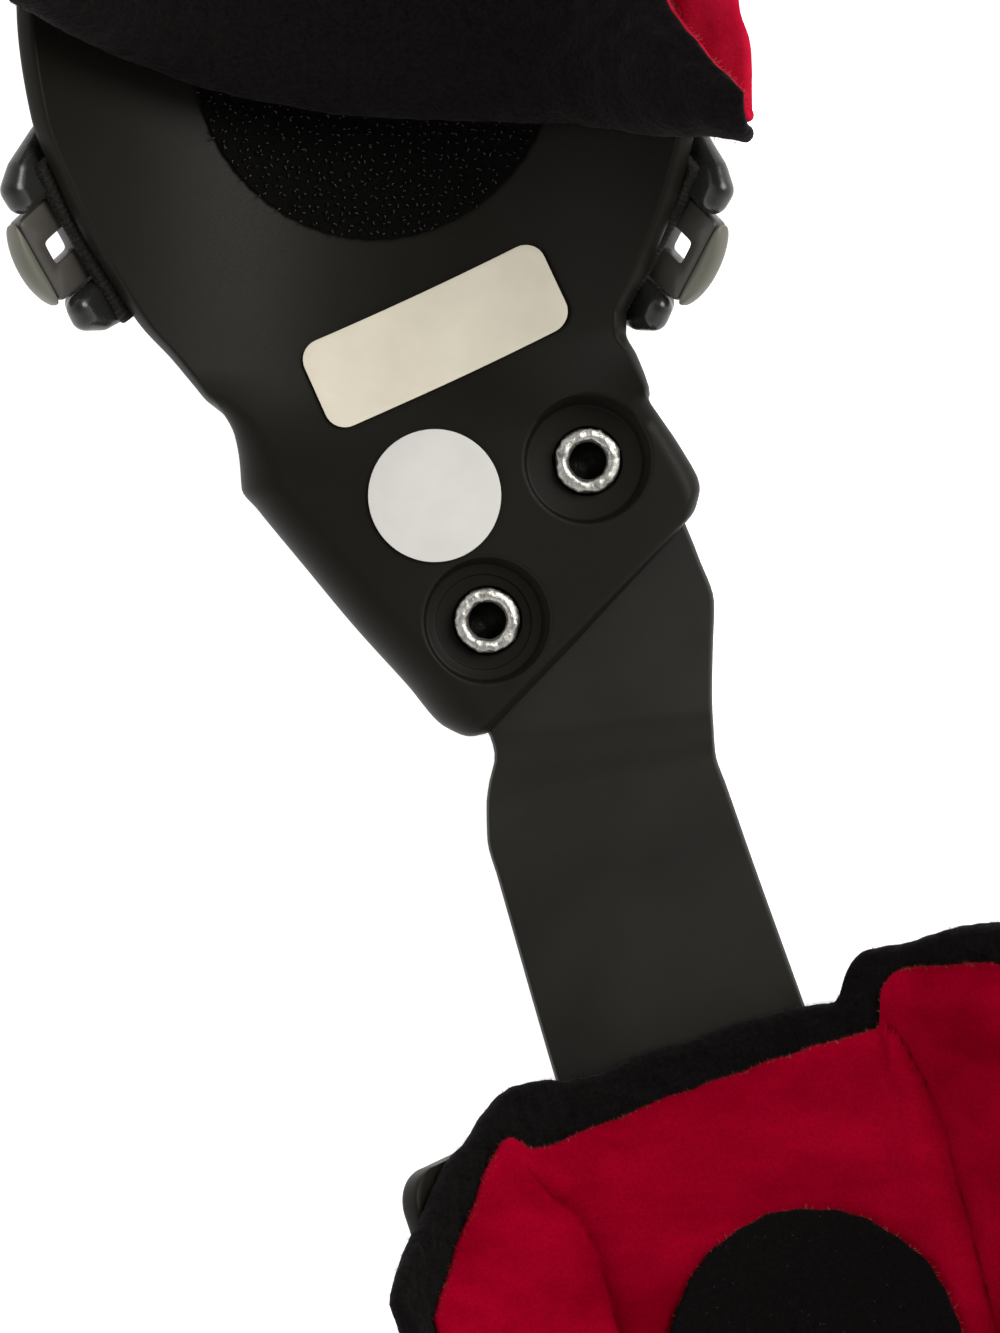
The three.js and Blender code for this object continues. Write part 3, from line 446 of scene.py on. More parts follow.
# Coating of the upright: cloudy colour with pale specks, and a grain that shines where it was rubbed.
def coatedBar():
    finish = Finish("bar_coating", shine=0.3)
    cloud = finish.noise(24, 4)
    grain = finish.noise(0.22, 3, 0.6)
    rubbed = finish.noise(9, 3, 0.6)
    colours = finish.blend(cloud, 0.3, 0.7, (0.0062, 0.0052, 0.0039), (0.0125, 0.0110, 0.0080))
    specks = finish.ramp(finish.cells(2.6), (0.0, 1.0), (0.035, 0.0))
    finish.set(colour=finish.mix(finish.math("MULTIPLY", specks, 0.4), colours, (0.03, 0.028, 0.023)))
    finish.set(roughness=finish.ramp(rubbed, (0.3, 0.44), (0.7, 0.50)))
    finish.set(normal=finish.bump(grain, 0.008))
    return finish.material


# Bright steel in patches and scratches, with painted shade (near-black, not metal) on all below a given height.
def wornSteel(name, shadeTop):
    finish = Finish(name)
    patches = finish.noise(0.9, 5, 0.7, distortion=0.8)
    scratches = finish.noise(0.35, 4, 0.7, place=finish.stretch((1.0, 0.25, 1.0), 0.5))
    tone = finish.ramp(patches, (0.32, (0.12, 0.115, 0.10)), (0.46, (0.55, 0.54, 0.50)), (0.7, (0.80, 0.79, 0.76)))
    tone = finish.mix(finish.ramp(scratches, (0.55, 0.0), (0.7, 0.6)), tone, (0.30, 0.29, 0.27))
    # Painted shade: below the given height, in the rivet's hole and down its bore, the colour goes near-black and the
    # metal off.
    height = finish.add("ShaderNodeSeparateXYZ", {"Vector": finish.place}).outputs["Z"]
    unshaded = finish.add("ShaderNodeMapRange", {"Value": height, "From Min": (shadeTop - 0.5) * mm,
                                              "From Max": shadeTop * mm}).outputs["Result"]
    finish.set(colour=finish.mix(unshaded, (0.010, 0.008, 0.006), tone), metal=unshaded)
    finish.set(roughness=finish.ramp(patches, (0.3, 0.55), (0.7, 0.24)))
    finish.set(normal=finish.bump(scratches, 0.05, finish.bump(patches, 0.10)))
    return finish.material


# Brushed velour: long patches of nap between two reds, darker between the hairs by the share dip.
def redVelour(name, low, high, dip):
    finish = Finish(name, shine=0.0, sheenRough=0.35, sheenTint=(1.0, 0.0, 0.08, 1))
    nap = finish.noise(16, 4, 0.55, place=finish.stretch((0.45, 1.0, 1.0), math.radians(-18)))
    fuzz = finish.noise(0.45, 3, 0.65)
    pile = finish.noise(1.6, 3, 0.6)
    colours = finish.blend(nap, 0.36, 0.64, low, high)
    finish.set(colour=finish.mix(finish.ramp(fuzz, (0.3, dip), (0.62, 0.0)), colours, (0.055, 0.0, 0.004)))
    finish.set(sheen=finish.ramp(nap, (0.3, 0.05), (0.7, 0.22)), roughness=0.95)
    finish.set(normal=finish.bump(fuzz, 0.10, finish.bump(pile, 0.12)))
    return finish.material


# Black cloth with a nap: fuzz between two tones, over loops and slow lumps that also carry the sheen.
def nappedCloth(name, low, high, sheen):
    finish = Finish(name, shine=0.08, sheenRough=0.45, sheenTint=(0.5, 0.44, 0.44, 1), roughness=0.92)
    fuzz = finish.noise(0.55, 4, 0.7)
    lump = finish.noise(3.2, 3, 0.55)
    loops = finish.cells(0.9)
    finish.set(colour=finish.blend(fuzz, 0.35, 0.7, low, high))
    finish.set(sheen=finish.math("MULTIPLY", finish.ramp(lump, (0.3, 0.3), (0.7, 1.0)), sheen))
    finish.set(normal=finish.bump(fuzz, 0.16, finish.bump(loops, 0.14, finish.bump(lump, 0.30))))
    return finish.material


# Bare paper: a cloudy tone with darker stains and a fine pulp.
def labelPaper(name, colour, darker):
    finish = Finish(name, shine=0.4)
    cloud = finish.noise(14, 4, 0.6)
    pulp = finish.noise(0.5, 4, 0.7)
    stain = finish.noise(4.5, 5, 0.7, distortion=0.6)
    colours = finish.blend(cloud, 0.3, 0.7, darker, colour)
    finish.set(colour=finish.mix(finish.ramp(stain, (0.62, 0.0), (0.8, 0.25)), colours, darker))
    finish.set(roughness=finish.ramp(pulp, (0.3, 0.42), (0.7, 0.58)))
    finish.set(normal=finish.bump(pulp, 0.01, finish.bump(stain, 0.03)))
    return finish.material


# Webbing woven in twill: ribs along its length that lean against each other, from the flat lengths stored in it.
def webbing():
    finish = Finish("webbing", shine=0.25, sheenRough=0.4, sheenTint=(0.6, 0.6, 0.6, 1), roughness=0.85, sheen=0.08)
    weave = finish.math("MULTIPLY", finish.waves(420.0, 0.4, "X"), finish.waves(360.0, 0.3, "DIAGONAL"))
    lint = finish.noise(0.6, 4, 0.7)
    colours = finish.blend(weave, 0.1, 0.8, (0.0055, 0.0050, 0.0036), (0.015, 0.0135, 0.0095))
    finish.set(colour=finish.mix(finish.ramp(lint, (0.62, 0.0), (0.78, 0.15)), colours, (0.04, 0.038, 0.032)))
    finish.set(normal=finish.bump(lint, 0.05, finish.bump(weave, 0.12)))
    return finish.material


finishes = {
    "shell": mouldedPlastic("shell_plastic", (0.0066, 0.0058, 0.0042), (0.0105, 0.0095, 0.0072), 0.46, 0.28, 0.12),
    "bar": coatedBar(),
    "steel": wornSteel("worn_steel", 7.9),
    "turned": wornSteel("turned_steel", 0.2),
    "velour": redVelour("red_velour", (0.175, 0.0, 0.0075), (0.32, 0.0008, 0.016), 0.28),
    # Painted light: a paler copy of the forearm's red velour, for the upper liner's facing, which faces the light
    # more.
    "paintedLightVelour": redVelour("painted_light_velour", (0.36, 0.004, 0.022), (0.56, 0.012, 0.045), 0.1),
    "redFibre": redVelour("red_fibre", (0.22, 0.008, 0.018), (0.42, 0.03, 0.045), 0.1),
    "fringe": redVelour("pale_fringe", (0.38, 0.05, 0.07), (0.62, 0.2, 0.2), 0.1),
    "tanFibre": redVelour("tan_fibre", (0.20, 0.06, 0.02), (0.42, 0.22, 0.10), 0.1),
    "loop": nappedCloth("loop_cloth", (0.0012, 0.0009, 0.0009), (0.0052, 0.0040, 0.0040), 0.07),
    "disc": nappedCloth("disc_cloth", (0.0010, 0.0006, 0.0007), (0.0038, 0.0024, 0.0026), 0.04),
    "hooks": mouldedPlastic("hook_plastic", (0.0030, 0.0027, 0.0022), (0.0085, 0.0078, 0.0065), 0.22, 0.5, 0.6),
    "tape": nappedCloth("tape_weave", (0.0010, 0.0009, 0.0008), (0.0030, 0.0027, 0.0023), 0.0),
    "partPaper": labelPaper("part_paper", (0.72, 0.67, 0.55), (0.63, 0.58, 0.47)),
    "sidePaper": labelPaper("side_paper", (0.66, 0.645, 0.62), (0.58, 0.567, 0.545)),
    "webbing": webbing(),
    "buckle": mouldedPlastic("buckle_plastic", (0.012, 0.012, 0.011), (0.019, 0.019, 0.017), 0.25, 0.6, 0.5),
    "tab": mouldedPlastic("tab_plastic", (0.042, 0.038, 0.033), (0.060, 0.055, 0.049), 0.36, 0.6, 0.4),
    "lip": mouldedPlastic("lip_plastic", (0.10, 0.098, 0.076), (0.15, 0.147, 0.12), 0.4, 0.6, 0.4),
    # Pale grey fuzz: real lint on the disc; on the straps' frayed ends it is partly a painted highlight on their lit
    # edge.
    "lint": nappedCloth("lint", (0.03, 0.03, 0.03), (0.12, 0.115, 0.11), 0.1),
}
print("materials made")


# Upper shell

# Outline from the top edge to the tongue's end. Left and right are shares of the half width from the cuff's axis,
# their downs shares of the length. The last three round the tongue's edges and lower its end, as shares of its
# thickness.
shellRows = np.array([
    (0.6, 0, 0.6, 0, 0, 0, 0),
    (0.78, 0.02, 0.78, 0.02, 0, 0, 0),
    (0.89, 0.055, 0.89, 0.055, 0, 0, 0),
    (0.966, 0.12, 0.944, 0.12, 0, 0, 0),
    (0.97, 0.22, 0.944, 0.22, 0, 0, 0),
    (0.966, 0.303, 0.944, 0.303, 0, 0, 0),
    (0.932, 0.4, 0.922, 0.396, 0, 0, 0),
    (0.872, 0.457, 0.876, 0.465, 0, 0, 0),
    (0.813, 0.504, 0.822, 0.515, 0, 0, 0),
    (0.742, 0.545, 0.765, 0.556, 0, 0, 0),
    (0.654, 0.592, 0.73, 0.581, 0, 0, 0),
    (0.566, 0.625, 0.73, 0.6, 0.1, 0.05, 0),
    (0.484, 0.662, 0.768, 0.622, 0.25, 0.1, 0),
    (0.426, 0.697, 0.808, 0.642, 0.45, 0.2, 0),
    (0.414, 0.723, 0.843, 0.66, 0.6, 0.3, 0),
    (0.409, 0.75, 0.886, 0.678, 0.7, 0.33, 0),
    (0.358, 0.772, 0.925, 0.696, 0.7, 0.33, 0),
    (0.211, 0.831, 0.965, 0.717, 0.7, 0.33, 0),
    (0.06, 0.891, 0.99, 0.731, 0.7, 0.33, 0),
    (-0.102, 0.95, 1.005, 0.742, 0.7, 0.33, 0),
    (-0.222, 0.994, 1.01, 0.752, 0.6, 0.33, 0),
    (-0.3, 1.004, 0.996, 0.772, 0.4, 0.3, 0.06),
    (-0.352, 1.001, 0.952, 0.792, 0.2, 0.2, 0.26),
])
upperShell = {
    "half": 46.6,
    "length": 141,
    "tongue": 9,
    "rows": 250,
    "middleColumns": 92,
    "boreRadius": 9,
    "boreFloor": 6.5,
    "holeRadius": 4.95,
    "rimRound": 0.5,
    "boreLean": (-0.5, -0.2),
}


# None on the tongue and one in the trough, along a line that leans a little across the shell.
def fadeAt(x, y):
    past = y - 59 - 0.1 * (x - upperCuff["middle"][0] + upperShell["half"] * 0.4)
    return smoothStep(past, 0, 14)


# Inner face of the shell: a round trough that fades into the flat tongue.
def shellFace(x, y):
    bowl = fadeAt(x, y)
    radius = upperCuff["radius"]
    side = np.minimum(np.abs(x - upperCuff["middle"][0]), radius * 0.97)
    floor = lerp(upperShell["tongue"], upperCuff["axisZ"] - radius, bowl)
    return floor + bowl * (radius - np.sqrt(radius**2 - side**2))


# One where the shell goes down to the ground, none in the trough.
def bossAt(x, y):
    flat = 1 - smoothStep(shellFace(x, y), upperShell["tongue"] + 2, upperShell["tongue"] + 5)
    return flat * (1 - smoothStep(fadeAt(x, y), 0.55, 0.85))


# Upper and lower face of the shell over its outline. The upper is the inner face less the drops of its round edges;
# the lower lies a wall's thickness under it, and goes down to the ground at the tongue.
def shellGrids():
    axisX, top = upperCuff["middle"]
    half, length, thick = upperShell["half"], upperShell["length"], upperShell["tongue"]
    left = np.column_stack([axisX - shellRows[:, 0] * half, top - shellRows[:, 1] * length])
    right = np.column_stack([axisX + shellRows[:, 2] * half, top - shellRows[:, 3] * length])
    steps = np.linalg.norm(np.diff(left, axis=0), axis=1) + np.linalg.norm(np.diff(right, axis=0), axis=1)
    places = np.concatenate([[0], np.cumsum(steps)])
    at = np.linspace(0, places[-1], upperShell["rows"])
    read = lambda values: throughTable(places, values, at)
    left = np.column_stack([read(left[:, 0]), read(left[:, 1])])
    right = np.column_stack([read(right[:, 0]), read(right[:, 1])])
    edgeL, edgeR, lip = (read(shellRows[:, k])[:, None] * thick for k in (4, 5, 6))
    width = np.linalg.norm(right - left, axis=1)[:, None]
    leftIn, rightIn = 6.5, 3.2  # reach of the close columns along each edge
    leftSteps = leftIn * (1 - np.cos(np.linspace(0, math.pi / 2, 13)))[None]
    rightSteps = rightIn * (1 - np.cos(np.linspace(math.pi / 2, 0, 9)))[None]
    share = np.linspace(0, 1, upperShell["middleColumns"])[1:-1][None]
    places = np.concatenate([np.repeat(leftSteps, len(at), 0), leftIn + (width - (leftIn + rightIn)) * share,
                             width - rightSteps], 1)
    spot = left[:, None] + (right - left)[:, None] * (places / width)[..., None]
    x, y = spot[..., 0], spot[..., 1]
    boss = bossAt(x, y)
    drop = (edgeDrop(edgeL, places) + edgeDrop(edgeR, width - places) + lip) * boss
    face = shellFace(x, y)
    lean = fadeAt(x, y) * np.arcsin(np.clip((x - axisX) / upperCuff["radius"], -0.97, 0.97))
    under = np.stack([x + shellWall * np.sin(lean), y, face - shellWall * np.cos(lean)], -1)
    ground = np.stack([x, y, np.zeros_like(x)], -1)
    return np.stack([x, y, face - drop], -1), lerp(under, ground, boss[..., None])


# Height of a surface at plan places, by the best-fitting quadratic through its points nearby.
def heightNear(points, spots, reach=2.2):
    heights = []
    for spot in spots:
        away = points[:, :2] - spot
        close = (away**2).sum(1) < reach**2
        x, y = away[close].T
        terms = np.column_stack([np.ones_like(x), x, y, x * x, x * y, y * y])
        heights.append(np.linalg.lstsq(terms, points[close, 2], rcond=None)[0][0])
    return np.array(heights)


# Sinks a round into a grid: faces near it are left out, and rings of the same number of points run from the
# hole's edge over a profile of (radius, height), None for the surface's own height, to a flat floor.
def sinkRound(points, faces, count, place, profile, lean):
    quads = faces[0]
    reach = profile[0][0]
    away = np.linalg.norm(points[:count, :2] - place, axis=1)
    cut = (away < reach + 0.35)[quads].any(1)
    gone = quads[cut]
    edges = np.stack([gone, np.roll(gone, -1, 1)], -1).reshape(-1, 2)
    known = set(map(tuple, edges.tolist()))
    after = {a: b for a, b in known if (b, a) not in known}
    loop = [next(iter(sorted(after)))]
    while after[loop[-1]] != loop[0]:
        loop.append(after[loop[-1]])
    loop = np.array(loop)
    turn = np.unwrap(np.arctan2(*(points[loop, :2] - place).T[::-1]))
    full = 2 * math.pi * np.sign(turn[-1] - turn[0])
    for _ in range(30):
        before = np.concatenate([[turn[-1] - full], turn[:-1]])
        later = np.concatenate([turn[1:], [turn[0] + full]])
        turn = (before + later + 2 * turn) / 4
    rings = []
    for radius, height in profile:
        shift = 0 if height is None or radius < 6 else smoothStep(-height, -8.9, -6.9)
        ring = wayAt(turn) * (radius - 0.5 * shift) + place + np.array(lean) * shift
        z = heightNear(points[:count], ring) if height is None else np.full(len(ring), height)
        rings.append(np.column_stack([ring, z]))
    start = len(points)
    first = np.arange(len(loop)) + start
    join = np.stack([loop, np.roll(loop, -1), np.roll(first, -1), first], -1)
    rows = loopQuads(len(rings), len(loop), start)
    last = start + (len(rings) - 1) * len(loop)
    faces = [quads[~cut], *faces[1:], join, rows, (np.arange(len(loop)) + last)[None]]
    return np.concatenate([points, *rings]), faces


# The upright's left and right edges, its lift, and how many rows lie in the shell's pocket. A table gives the head
# and the step, and behind them two straight sides run along the forearm cuff to a tail with round corners.
def barOutline():
    left = np.column_stack([barRows[:, 0] * bar["width"], barRows[:, 1] * bar["reach"]])
    right = np.column_stack([barRows[:, 2] * bar["width"], barRows[:, 3] * bar["reach"]])
    lift = barRows[:, 4] * bar["step"]
    half, corner = bar["width"] / 2, bar["tailRound"]
    for turn in np.linspace(0, 1, 7) * math.pi / 2:
        along = bar["tail"] - corner + corner * math.sin(turn)
        side = half - corner * (1 - math.cos(turn))
        middle = lowerCuff["middle"] - bar["offCentre"] * lowerCuff["across"] + along * lowerCuff["along"]
        left = np.vstack([left, middle - side * lowerCuff["across"]])
        right = np.vstack([right, middle + side * lowerCuff["across"]])
        lift = np.append(lift, 0)
    steps = np.linalg.norm(np.diff(left, axis=0), axis=1) + np.linalg.norm(np.diff(right, axis=0), axis=1)
    places = np.concatenate([[0], np.cumsum(steps)])
    at = np.unique(np.concatenate([np.linspace(0, places[-1], bar["rows"]), places[-7:]]))
    read = lambda values: throughTable(places, values, at)
    pocketRows = int((at <= places[10]).sum())
    return (np.column_stack([read(left[:, 0]), read(left[:, 1])]),
            np.column_stack([read(right[:, 0]), read(right[:, 1])]), read(lift), pocketRows)


# Outline of the upright from its head down to the elbow. Left and right are shares of its width from the origin,
# their ups shares of the head's reach, and the last is a share of the step that raises the head.
barRows = np.array([
    (-0.28, 0.99, -0.14, 1, 1),
    (-0.39, 0.955, 0, 0.983, 1),
    (-0.48, 0.9, 0.113, 0.935, 1),
    (-0.563, 0.83, 0.183, 0.865, 1),
    (-0.704, 0.712, 0.225, 0.747, 1),
    (-0.817, 0.609, 0.304, 0.643, 1),
    (-0.845, 0.526, 0.37, 0.546, 1),
    (-0.803, 0.436, 0.364, 0.452, 1),
    (-0.648, 0.346, 0.361, 0.373, 1),
    (-0.53, 0.284, 0.363, 0.332, 1),
    (-0.51, 0.241, 0.369, 0.297, 0.6),
    (-0.533, 0.19, 0.374, 0.268, 0.12),
    (-0.544, 0.147, 0.38, 0.243, 0),
    (-0.541, 0.079, 0.42, 0.187, 0),
    (-0.499, 0.001, 0.465, 0.124, 0),
])
bar = {"width": 35.5, "reach": 72.3, "step": 2, "thick": 3, "tail": 54, "tailRound": 7, "offCentre": 4.6,
       "rows": 150, "columns": 26, "edge": 0.25}
# The two rivets of the forearm shell, on the upright's middle line, and the holes they stand in.
shellRivetPlaces = [lowerCuff["middle"] + along * lowerCuff["along"] - bar["offCentre"] * lowerCuff["across"]
                    for along in (12, 44)]
rivetHole = 3.3


# The shell from its two grids, with its counterbores sunk, a pocket for the upright and a hole for each tube rivet.
def makeUpperShell():
    top, bottom = shellGrids()
    count = top.shape[0] * top.shape[1]
    points, faces = closedGrid(top, bottom, upperShell["rimRound"], 6, 0.7)
    radius, floor, hole = (upperShell[key] for key in ("boreRadius", "boreFloor", "holeRadius"))
    for k, place in enumerate(tubePlaces):
        profile = [(radius + 0.7, None), (radius + 0.35, None), (radius + 0.12, 8.9), (radius + 0.02, 8.75),
                   (radius, 8.5), (radius - 0.01, 7.9), (radius - 0.02, 7.3), (radius - 0.05, floor + 0.45),
                   (radius - 0.2, floor + 0.12), (radius - 0.55, floor)]
        if k == 1:
            profile += [(7.5, floor), (7.38, floor - 0.06), (7.3, floor - 0.3), (7.05, floor - 0.36)]
            floor -= 0.36
        profile += [(5.3, floor), (5.05, floor - 0.05), (hole, floor - 0.3), (hole, 5.7)]
        points, faces = sinkRound(points, faces, count, np.array(place), profile, upperShell["boreLean"])
    made = piece("upper_shell_moulding", points, faces, finishes["shell"], ["upper_shell"])
    left, right, _, rows = barOutline()
    left, right = left[:rows], right[:rows]
    out = unit(right - left) * (gap + bar["edge"])
    up = np.column_stack([-out[:1, 1], out[:1, 0]])
    left, right = left - out, right + out
    left[0] += up[0]
    right[0] += up[0]
    cutters = [prism(np.concatenate([left, right[::-1]]), -1, 5.3)]
    cutters += [prism(circle(hole - 0.05, 64, place), -2, 6.0) for place in tubePlaces]
    carve(made, cutters)


makeUpperShell()
print("upper shell made")


# Upright

# The upright: a flat bar between its two edges, raised by its lift, worn at its long edges and drilled for rivets.
def makeBar():
    left, right, lift, _ = barOutline()
    inset = 0.5 * (1 - np.cos(np.linspace(0, math.pi / 2, 5)))
    width = np.linalg.norm(right - left, axis=1)[:, None]
    share = np.linspace(0, 1, bar["columns"])[1:-1][None]
    places = np.concatenate([np.repeat(inset[None], len(left), 0), 0.5 + (width - 1) * share,
                             width - inset[::-1][None]], 1)
    spot = left[:, None] + (right - left)[:, None] * (places / width)[..., None]
    worn = edgeDrop(0.35, places) + edgeDrop(0.35, width - places)
    height = np.repeat(lift[:, None], places.shape[1], 1)
    top = np.dstack([spot, height + bar["thick"] - worn])
    bottom = np.dstack([spot, height + worn])
    points, faces = closedGrid(top, bottom, bar["edge"], 5, 0.6)
    made = piece("coated_upright", points, faces, finishes["bar"], ["upright_bar"])
    cutters = [prism(circle(tubeRadius + gap, 64, place), -1, 7) for place in tubePlaces]
    cutters += [prism(circle(rivetHole, 48, place), -1, 5) for place in shellRivetPlaces]
    carve(made, cutters)


makeBar()


# Rivets

# A tube rivet with a hammered, worn rim. Its radii and heights swing a little round the rim.
def makeTubeRivet(number, place):
    profile = [(0, 0.4), (2.7, 0.4), (5.6, 0.4), (6.05, 0.5), (6.25, 0.75), (6.3, 1.1), (6.25, 1.55), (6.1, 1.7),
               (4.75, 1.7), (4.65, 1.8), (4.65, 6), (4.65, 7.9), (4.6, 8.15), (4.5, 8.35), (4.3, 8.52), (4.05, 8.64),
               (3.75, 8.7), (3.5, 8.69), (3.25, 8.6), (3.05, 8.46), (2.9, 8.25), (2.78, 8.0), (2.7, 7.6), (2.7, 6.5),
               (2.7, 5.2), (2.65, 3), (2.6, 1.2), (0, 1.1)]
    points, faces = lathe(profile, 96)
    turn = np.arctan2(points[:, 1], points[:, 0])
    high = smoothStep(points[:, 2], 6.5, 8.3)
    chips = np.sin(turn * 9 + number) + np.sin(turn * 17 + 2 * number) * 0.7 + np.sin(turn * 31 + 1.3) * 0.5
    points[:, 2] += high * (0.02 * chips + 0.09 * wobble(points, 1.7, 90 + number) - 0.08)
    grow = 1 + high[:, None] * (0.035 * wobble(points, 2.3, 92 + number) + 0.006 * np.sin(turn * 23))[:, None]
    points[:, :2] = points[:, :2] * grow + place
    piece(f"tube_rivet_worn_{number}", points, faces, finishes["steel"], [f"tube_rivet_{number}"])


for number, place in enumerate(tubePlaces, 1):
    makeTubeRivet(number, place)
for number, place in enumerate(shellRivetPlaces, 1):
    points, faces = lathe([(0, 0.32), (2.0, 0.3), (2.6, 0.36), (2.9, 0.55), (3, 0.9), (3, 3), (3, 5.4), (2.9, 5.75),
                           (2.6, 5.95), (2.0, 6.0), (0, 6.0)], 64)
    points[:, :2] += place
    piece(f"shell_rivet_turned_{number}", points, faces, finishes["turned"], [f"shell_rivet_{number}"])
print("upright and rivets made")


# Discs and labels

# A thin patch laid on a surface, with its upper edge rounded: rings of points at shares of the way to an outline.
def layPatch(middle, outline, surface, low, high, rings, edge):
    out = unit(outline)
    probe = 0.2

    # Plan places on the surface, raised by lift as measured square to it.
    def lifted(plan, lift):
        x, y = plan.T
        slopeX = (surface(x + probe, y) - surface(x - probe, y)) / (2 * probe)
        slopeY = (surface(x, y + probe) - surface(x, y - probe)) / (2 * probe)
        return np.column_stack([plan, surface(x, y) + lift * np.sqrt(1 + slopeX**2 + slopeY**2)])

    loops = [middle + (outline - out * edge) * share for share in np.linspace(1 / rings, 1, rings)]
    points = [lifted(loop, high) for loop in loops]
    for turn in np.linspace(0, math.pi / 2, 4)[1:]:
        points.append(lifted(middle + outline - out * edge * (1 - math.sin(turn)), high - edge * (1 - math.cos(turn))))
    points.append(lifted(middle + outline, low + min(edge, high - low) * 0.2))
    points += [lifted(middle + (outline - out * edge) * share, low) for share in (1, 0.75, 0.5, 0.25)]
    faces = fannedFaces(len(points), len(outline))
    points += [lifted(middle[None], height) for height in (high, low)]
    return np.concatenate(points), faces


# Points at equal steps round a rectangle with round corners, which is then turned: each step's distance is used up
# on the corners and the straight sides in turn.
def roundedRectangle(width, height, corner, turn, count=160):
    angle = np.linspace(0, 2 * math.pi, count, endpoint=False)
    ring = []
    inX, inY = width / 2 - corner, height / 2 - corner
    around = 2 * math.pi * corner + 4 * (inX + inY)
    for run in angle / (2 * math.pi) * around:
        for sideX, sideY, start, straight in ((1, 1, 0, 2 * inX), (-1, 1, 90, 2 * inY), (-1, -1, 180, 2 * inX),
                                              (1, -1, 270, 2 * inY)):
            bend = corner * math.pi / 2
            if run <= bend:
                way = math.radians(start) + run / corner
                ring.append((sideX * inX + corner * math.cos(way), sideY * inY + corner * math.sin(way)))
                break
            run -= bend
            if run <= straight:
                way = math.radians(start + 90)
                x, y = sideX * inX + corner * math.cos(way), sideY * inY + corner * math.sin(way)
                ring.append((x - run * math.sin(way), y + run * math.cos(way)))
                break
            run -= straight
    x, y = np.array(ring).T
    tilt = math.radians(turn)
    return np.column_stack([x * math.cos(tilt) - y * math.sin(tilt), x * math.sin(tilt) + y * math.cos(tilt)])


hookDisc = {"place": (-35.4, 117.1), "radius": 25.7, "tape": 0.5, "hooks": 1300, "hookHeight": 0.62,
            "hookThick": 0.13}
labels = {
    "part": {"place": (-26.9, 77.5), "width": 37.5, "height": 13.4, "corner": 3, "turn": 24.2},
    "side": {"place": (-26.9, 54.9), "radius": 9.5},
    "low": 0.35,
    "high": 0.65,
}


# The two labels, and the disc of tape with hooks on a shaken grid. A hook is a square wire along a bent path.
def makeDiscs():
    low, high = labels["low"], labels["high"]
    part, side = labels["part"], labels["side"]
    points, faces = layPatch(np.array(part["place"]), roundedRectangle(part["width"], part["height"], part["corner"],
                             part["turn"]), shellFace, low, high, 14, 0.08)
    piece("part_label_paper", points, faces, finishes["partPaper"], ["part_label"])
    points, faces = layPatch(np.array(side["place"]), circle(side["radius"], 96), shellFace, low, high, 10, 0.08)
    piece("side_label_paper", points, faces, finishes["sidePaper"], ["side_label"])
    middle = np.array(hookDisc["place"])
    tape = hookDisc["tape"]
    rim = circle(hookDisc["radius"] - 0.3, 140) * (1 + 0.004 * np.sin(np.arange(140) * 2.3))[:, None]
    points, faces = layPatch(middle, rim, shellFace, gap, gap + tape, 16, 0.2)
    piece("hook_tape", points, faces, finishes["tape"], ["hook_disc"])
    chance = np.random.default_rng(5)
    step = hookDisc["radius"] * math.sqrt(math.pi / hookDisc["hooks"])
    lines = np.arange(-hookDisc["radius"], hookDisc["radius"], step)
    x, y = np.meshgrid(lines, lines)
    plan = np.column_stack([x.ravel() + (np.arange(len(lines)) % 2 * step / 2).repeat(len(lines)), y.ravel()])
    plan += chance.normal(0, step * 0.2, plan.shape)
    plan = plan[np.linalg.norm(plan, axis=1) < hookDisc["radius"] - 0.35] + middle
    count = len(plan)
    roots = np.column_stack([plan, shellFace(*plan.T) + gap + tape - 0.02])
    lean = chance.uniform(-0.45, 0.45, (count, 2))
    turn = chance.normal(0, 0.9, count) + np.where(np.arange(count) % 2, 0, math.pi)
    aside = np.column_stack([np.cos(turn), np.sin(turn), np.zeros(count)])
    rows = []
    tall, thick = hookDisc["hookHeight"], hookDisc["hookThick"]
    path = [(0, 0), (0.02, 0.45), (0.10, 0.82), (0.33, 1.0), (0.58, 0.86), (0.66, 0.62)]
    for out, up in path:
        middlePoint = roots + aside * out * tall + np.column_stack([lean * up * tall, np.full(count, up * tall)])
        for k in range(4):
            way = math.pi / 2 * k + math.pi / 4
            across = np.cross(aside, (0, 0, 1))
            upward = np.array([0, 0, 1.0]) if out > 0.2 else aside
            rows.append(middlePoint + (across * math.cos(way) + upward * math.sin(way)) * thick)
    points = np.stack(rows, 1).reshape(-1, 3)
    piece("hook_bristles", points, tubeFaces(count, len(path), 4), finishes["hooks"], ["hook_disc"])


makeDiscs()
print("labels and hook disc made")


# Forearm shell

lowerShell = {"length": 94, "turn": 52, "inset": 2.5, "corner": 5, "rows": 90, "columns": 110}


# The forearm shell: part of a round trough whose turn is less near its ends, which rounds its four corners.
def makeLowerShell():
    length, inset, corner = lowerShell["length"], lowerShell["inset"], lowerShell["corner"]
    near = inset + corner * (1 - np.cos(np.linspace(0, math.pi / 2, 12)))
    alongs = np.concatenate([near, np.linspace(inset + corner, length - inset - corner, lowerShell["rows"])[1:-1],
                             length - near[::-1]])[:, None]
    depth = np.minimum(np.minimum(alongs - inset, length - inset - alongs), corner)
    turn = math.radians(lowerShell["turn"]) - edgeDrop(corner, depth) / lowerCuff["radius"]
    turns = turn * np.linspace(-1, 1, lowerShell["columns"])[None]
    radius = lowerCuff["radius"]
    points, faces = closedGrid(cuffPoint(lowerCuff, turns, alongs, radius),
                               cuffPoint(lowerCuff, turns, alongs, radius + shellWall), 0.5, 6, 0.7)
    made = piece("lower_shell_moulding", points, faces, finishes["shell"], ["lower_shell"])
    carve(made, [prism(circle(rivetHole, 48, place), 0, 10) for place in shellRivetPlaces])


makeLowerShell()
print("forearm shell made")


# Upper liner

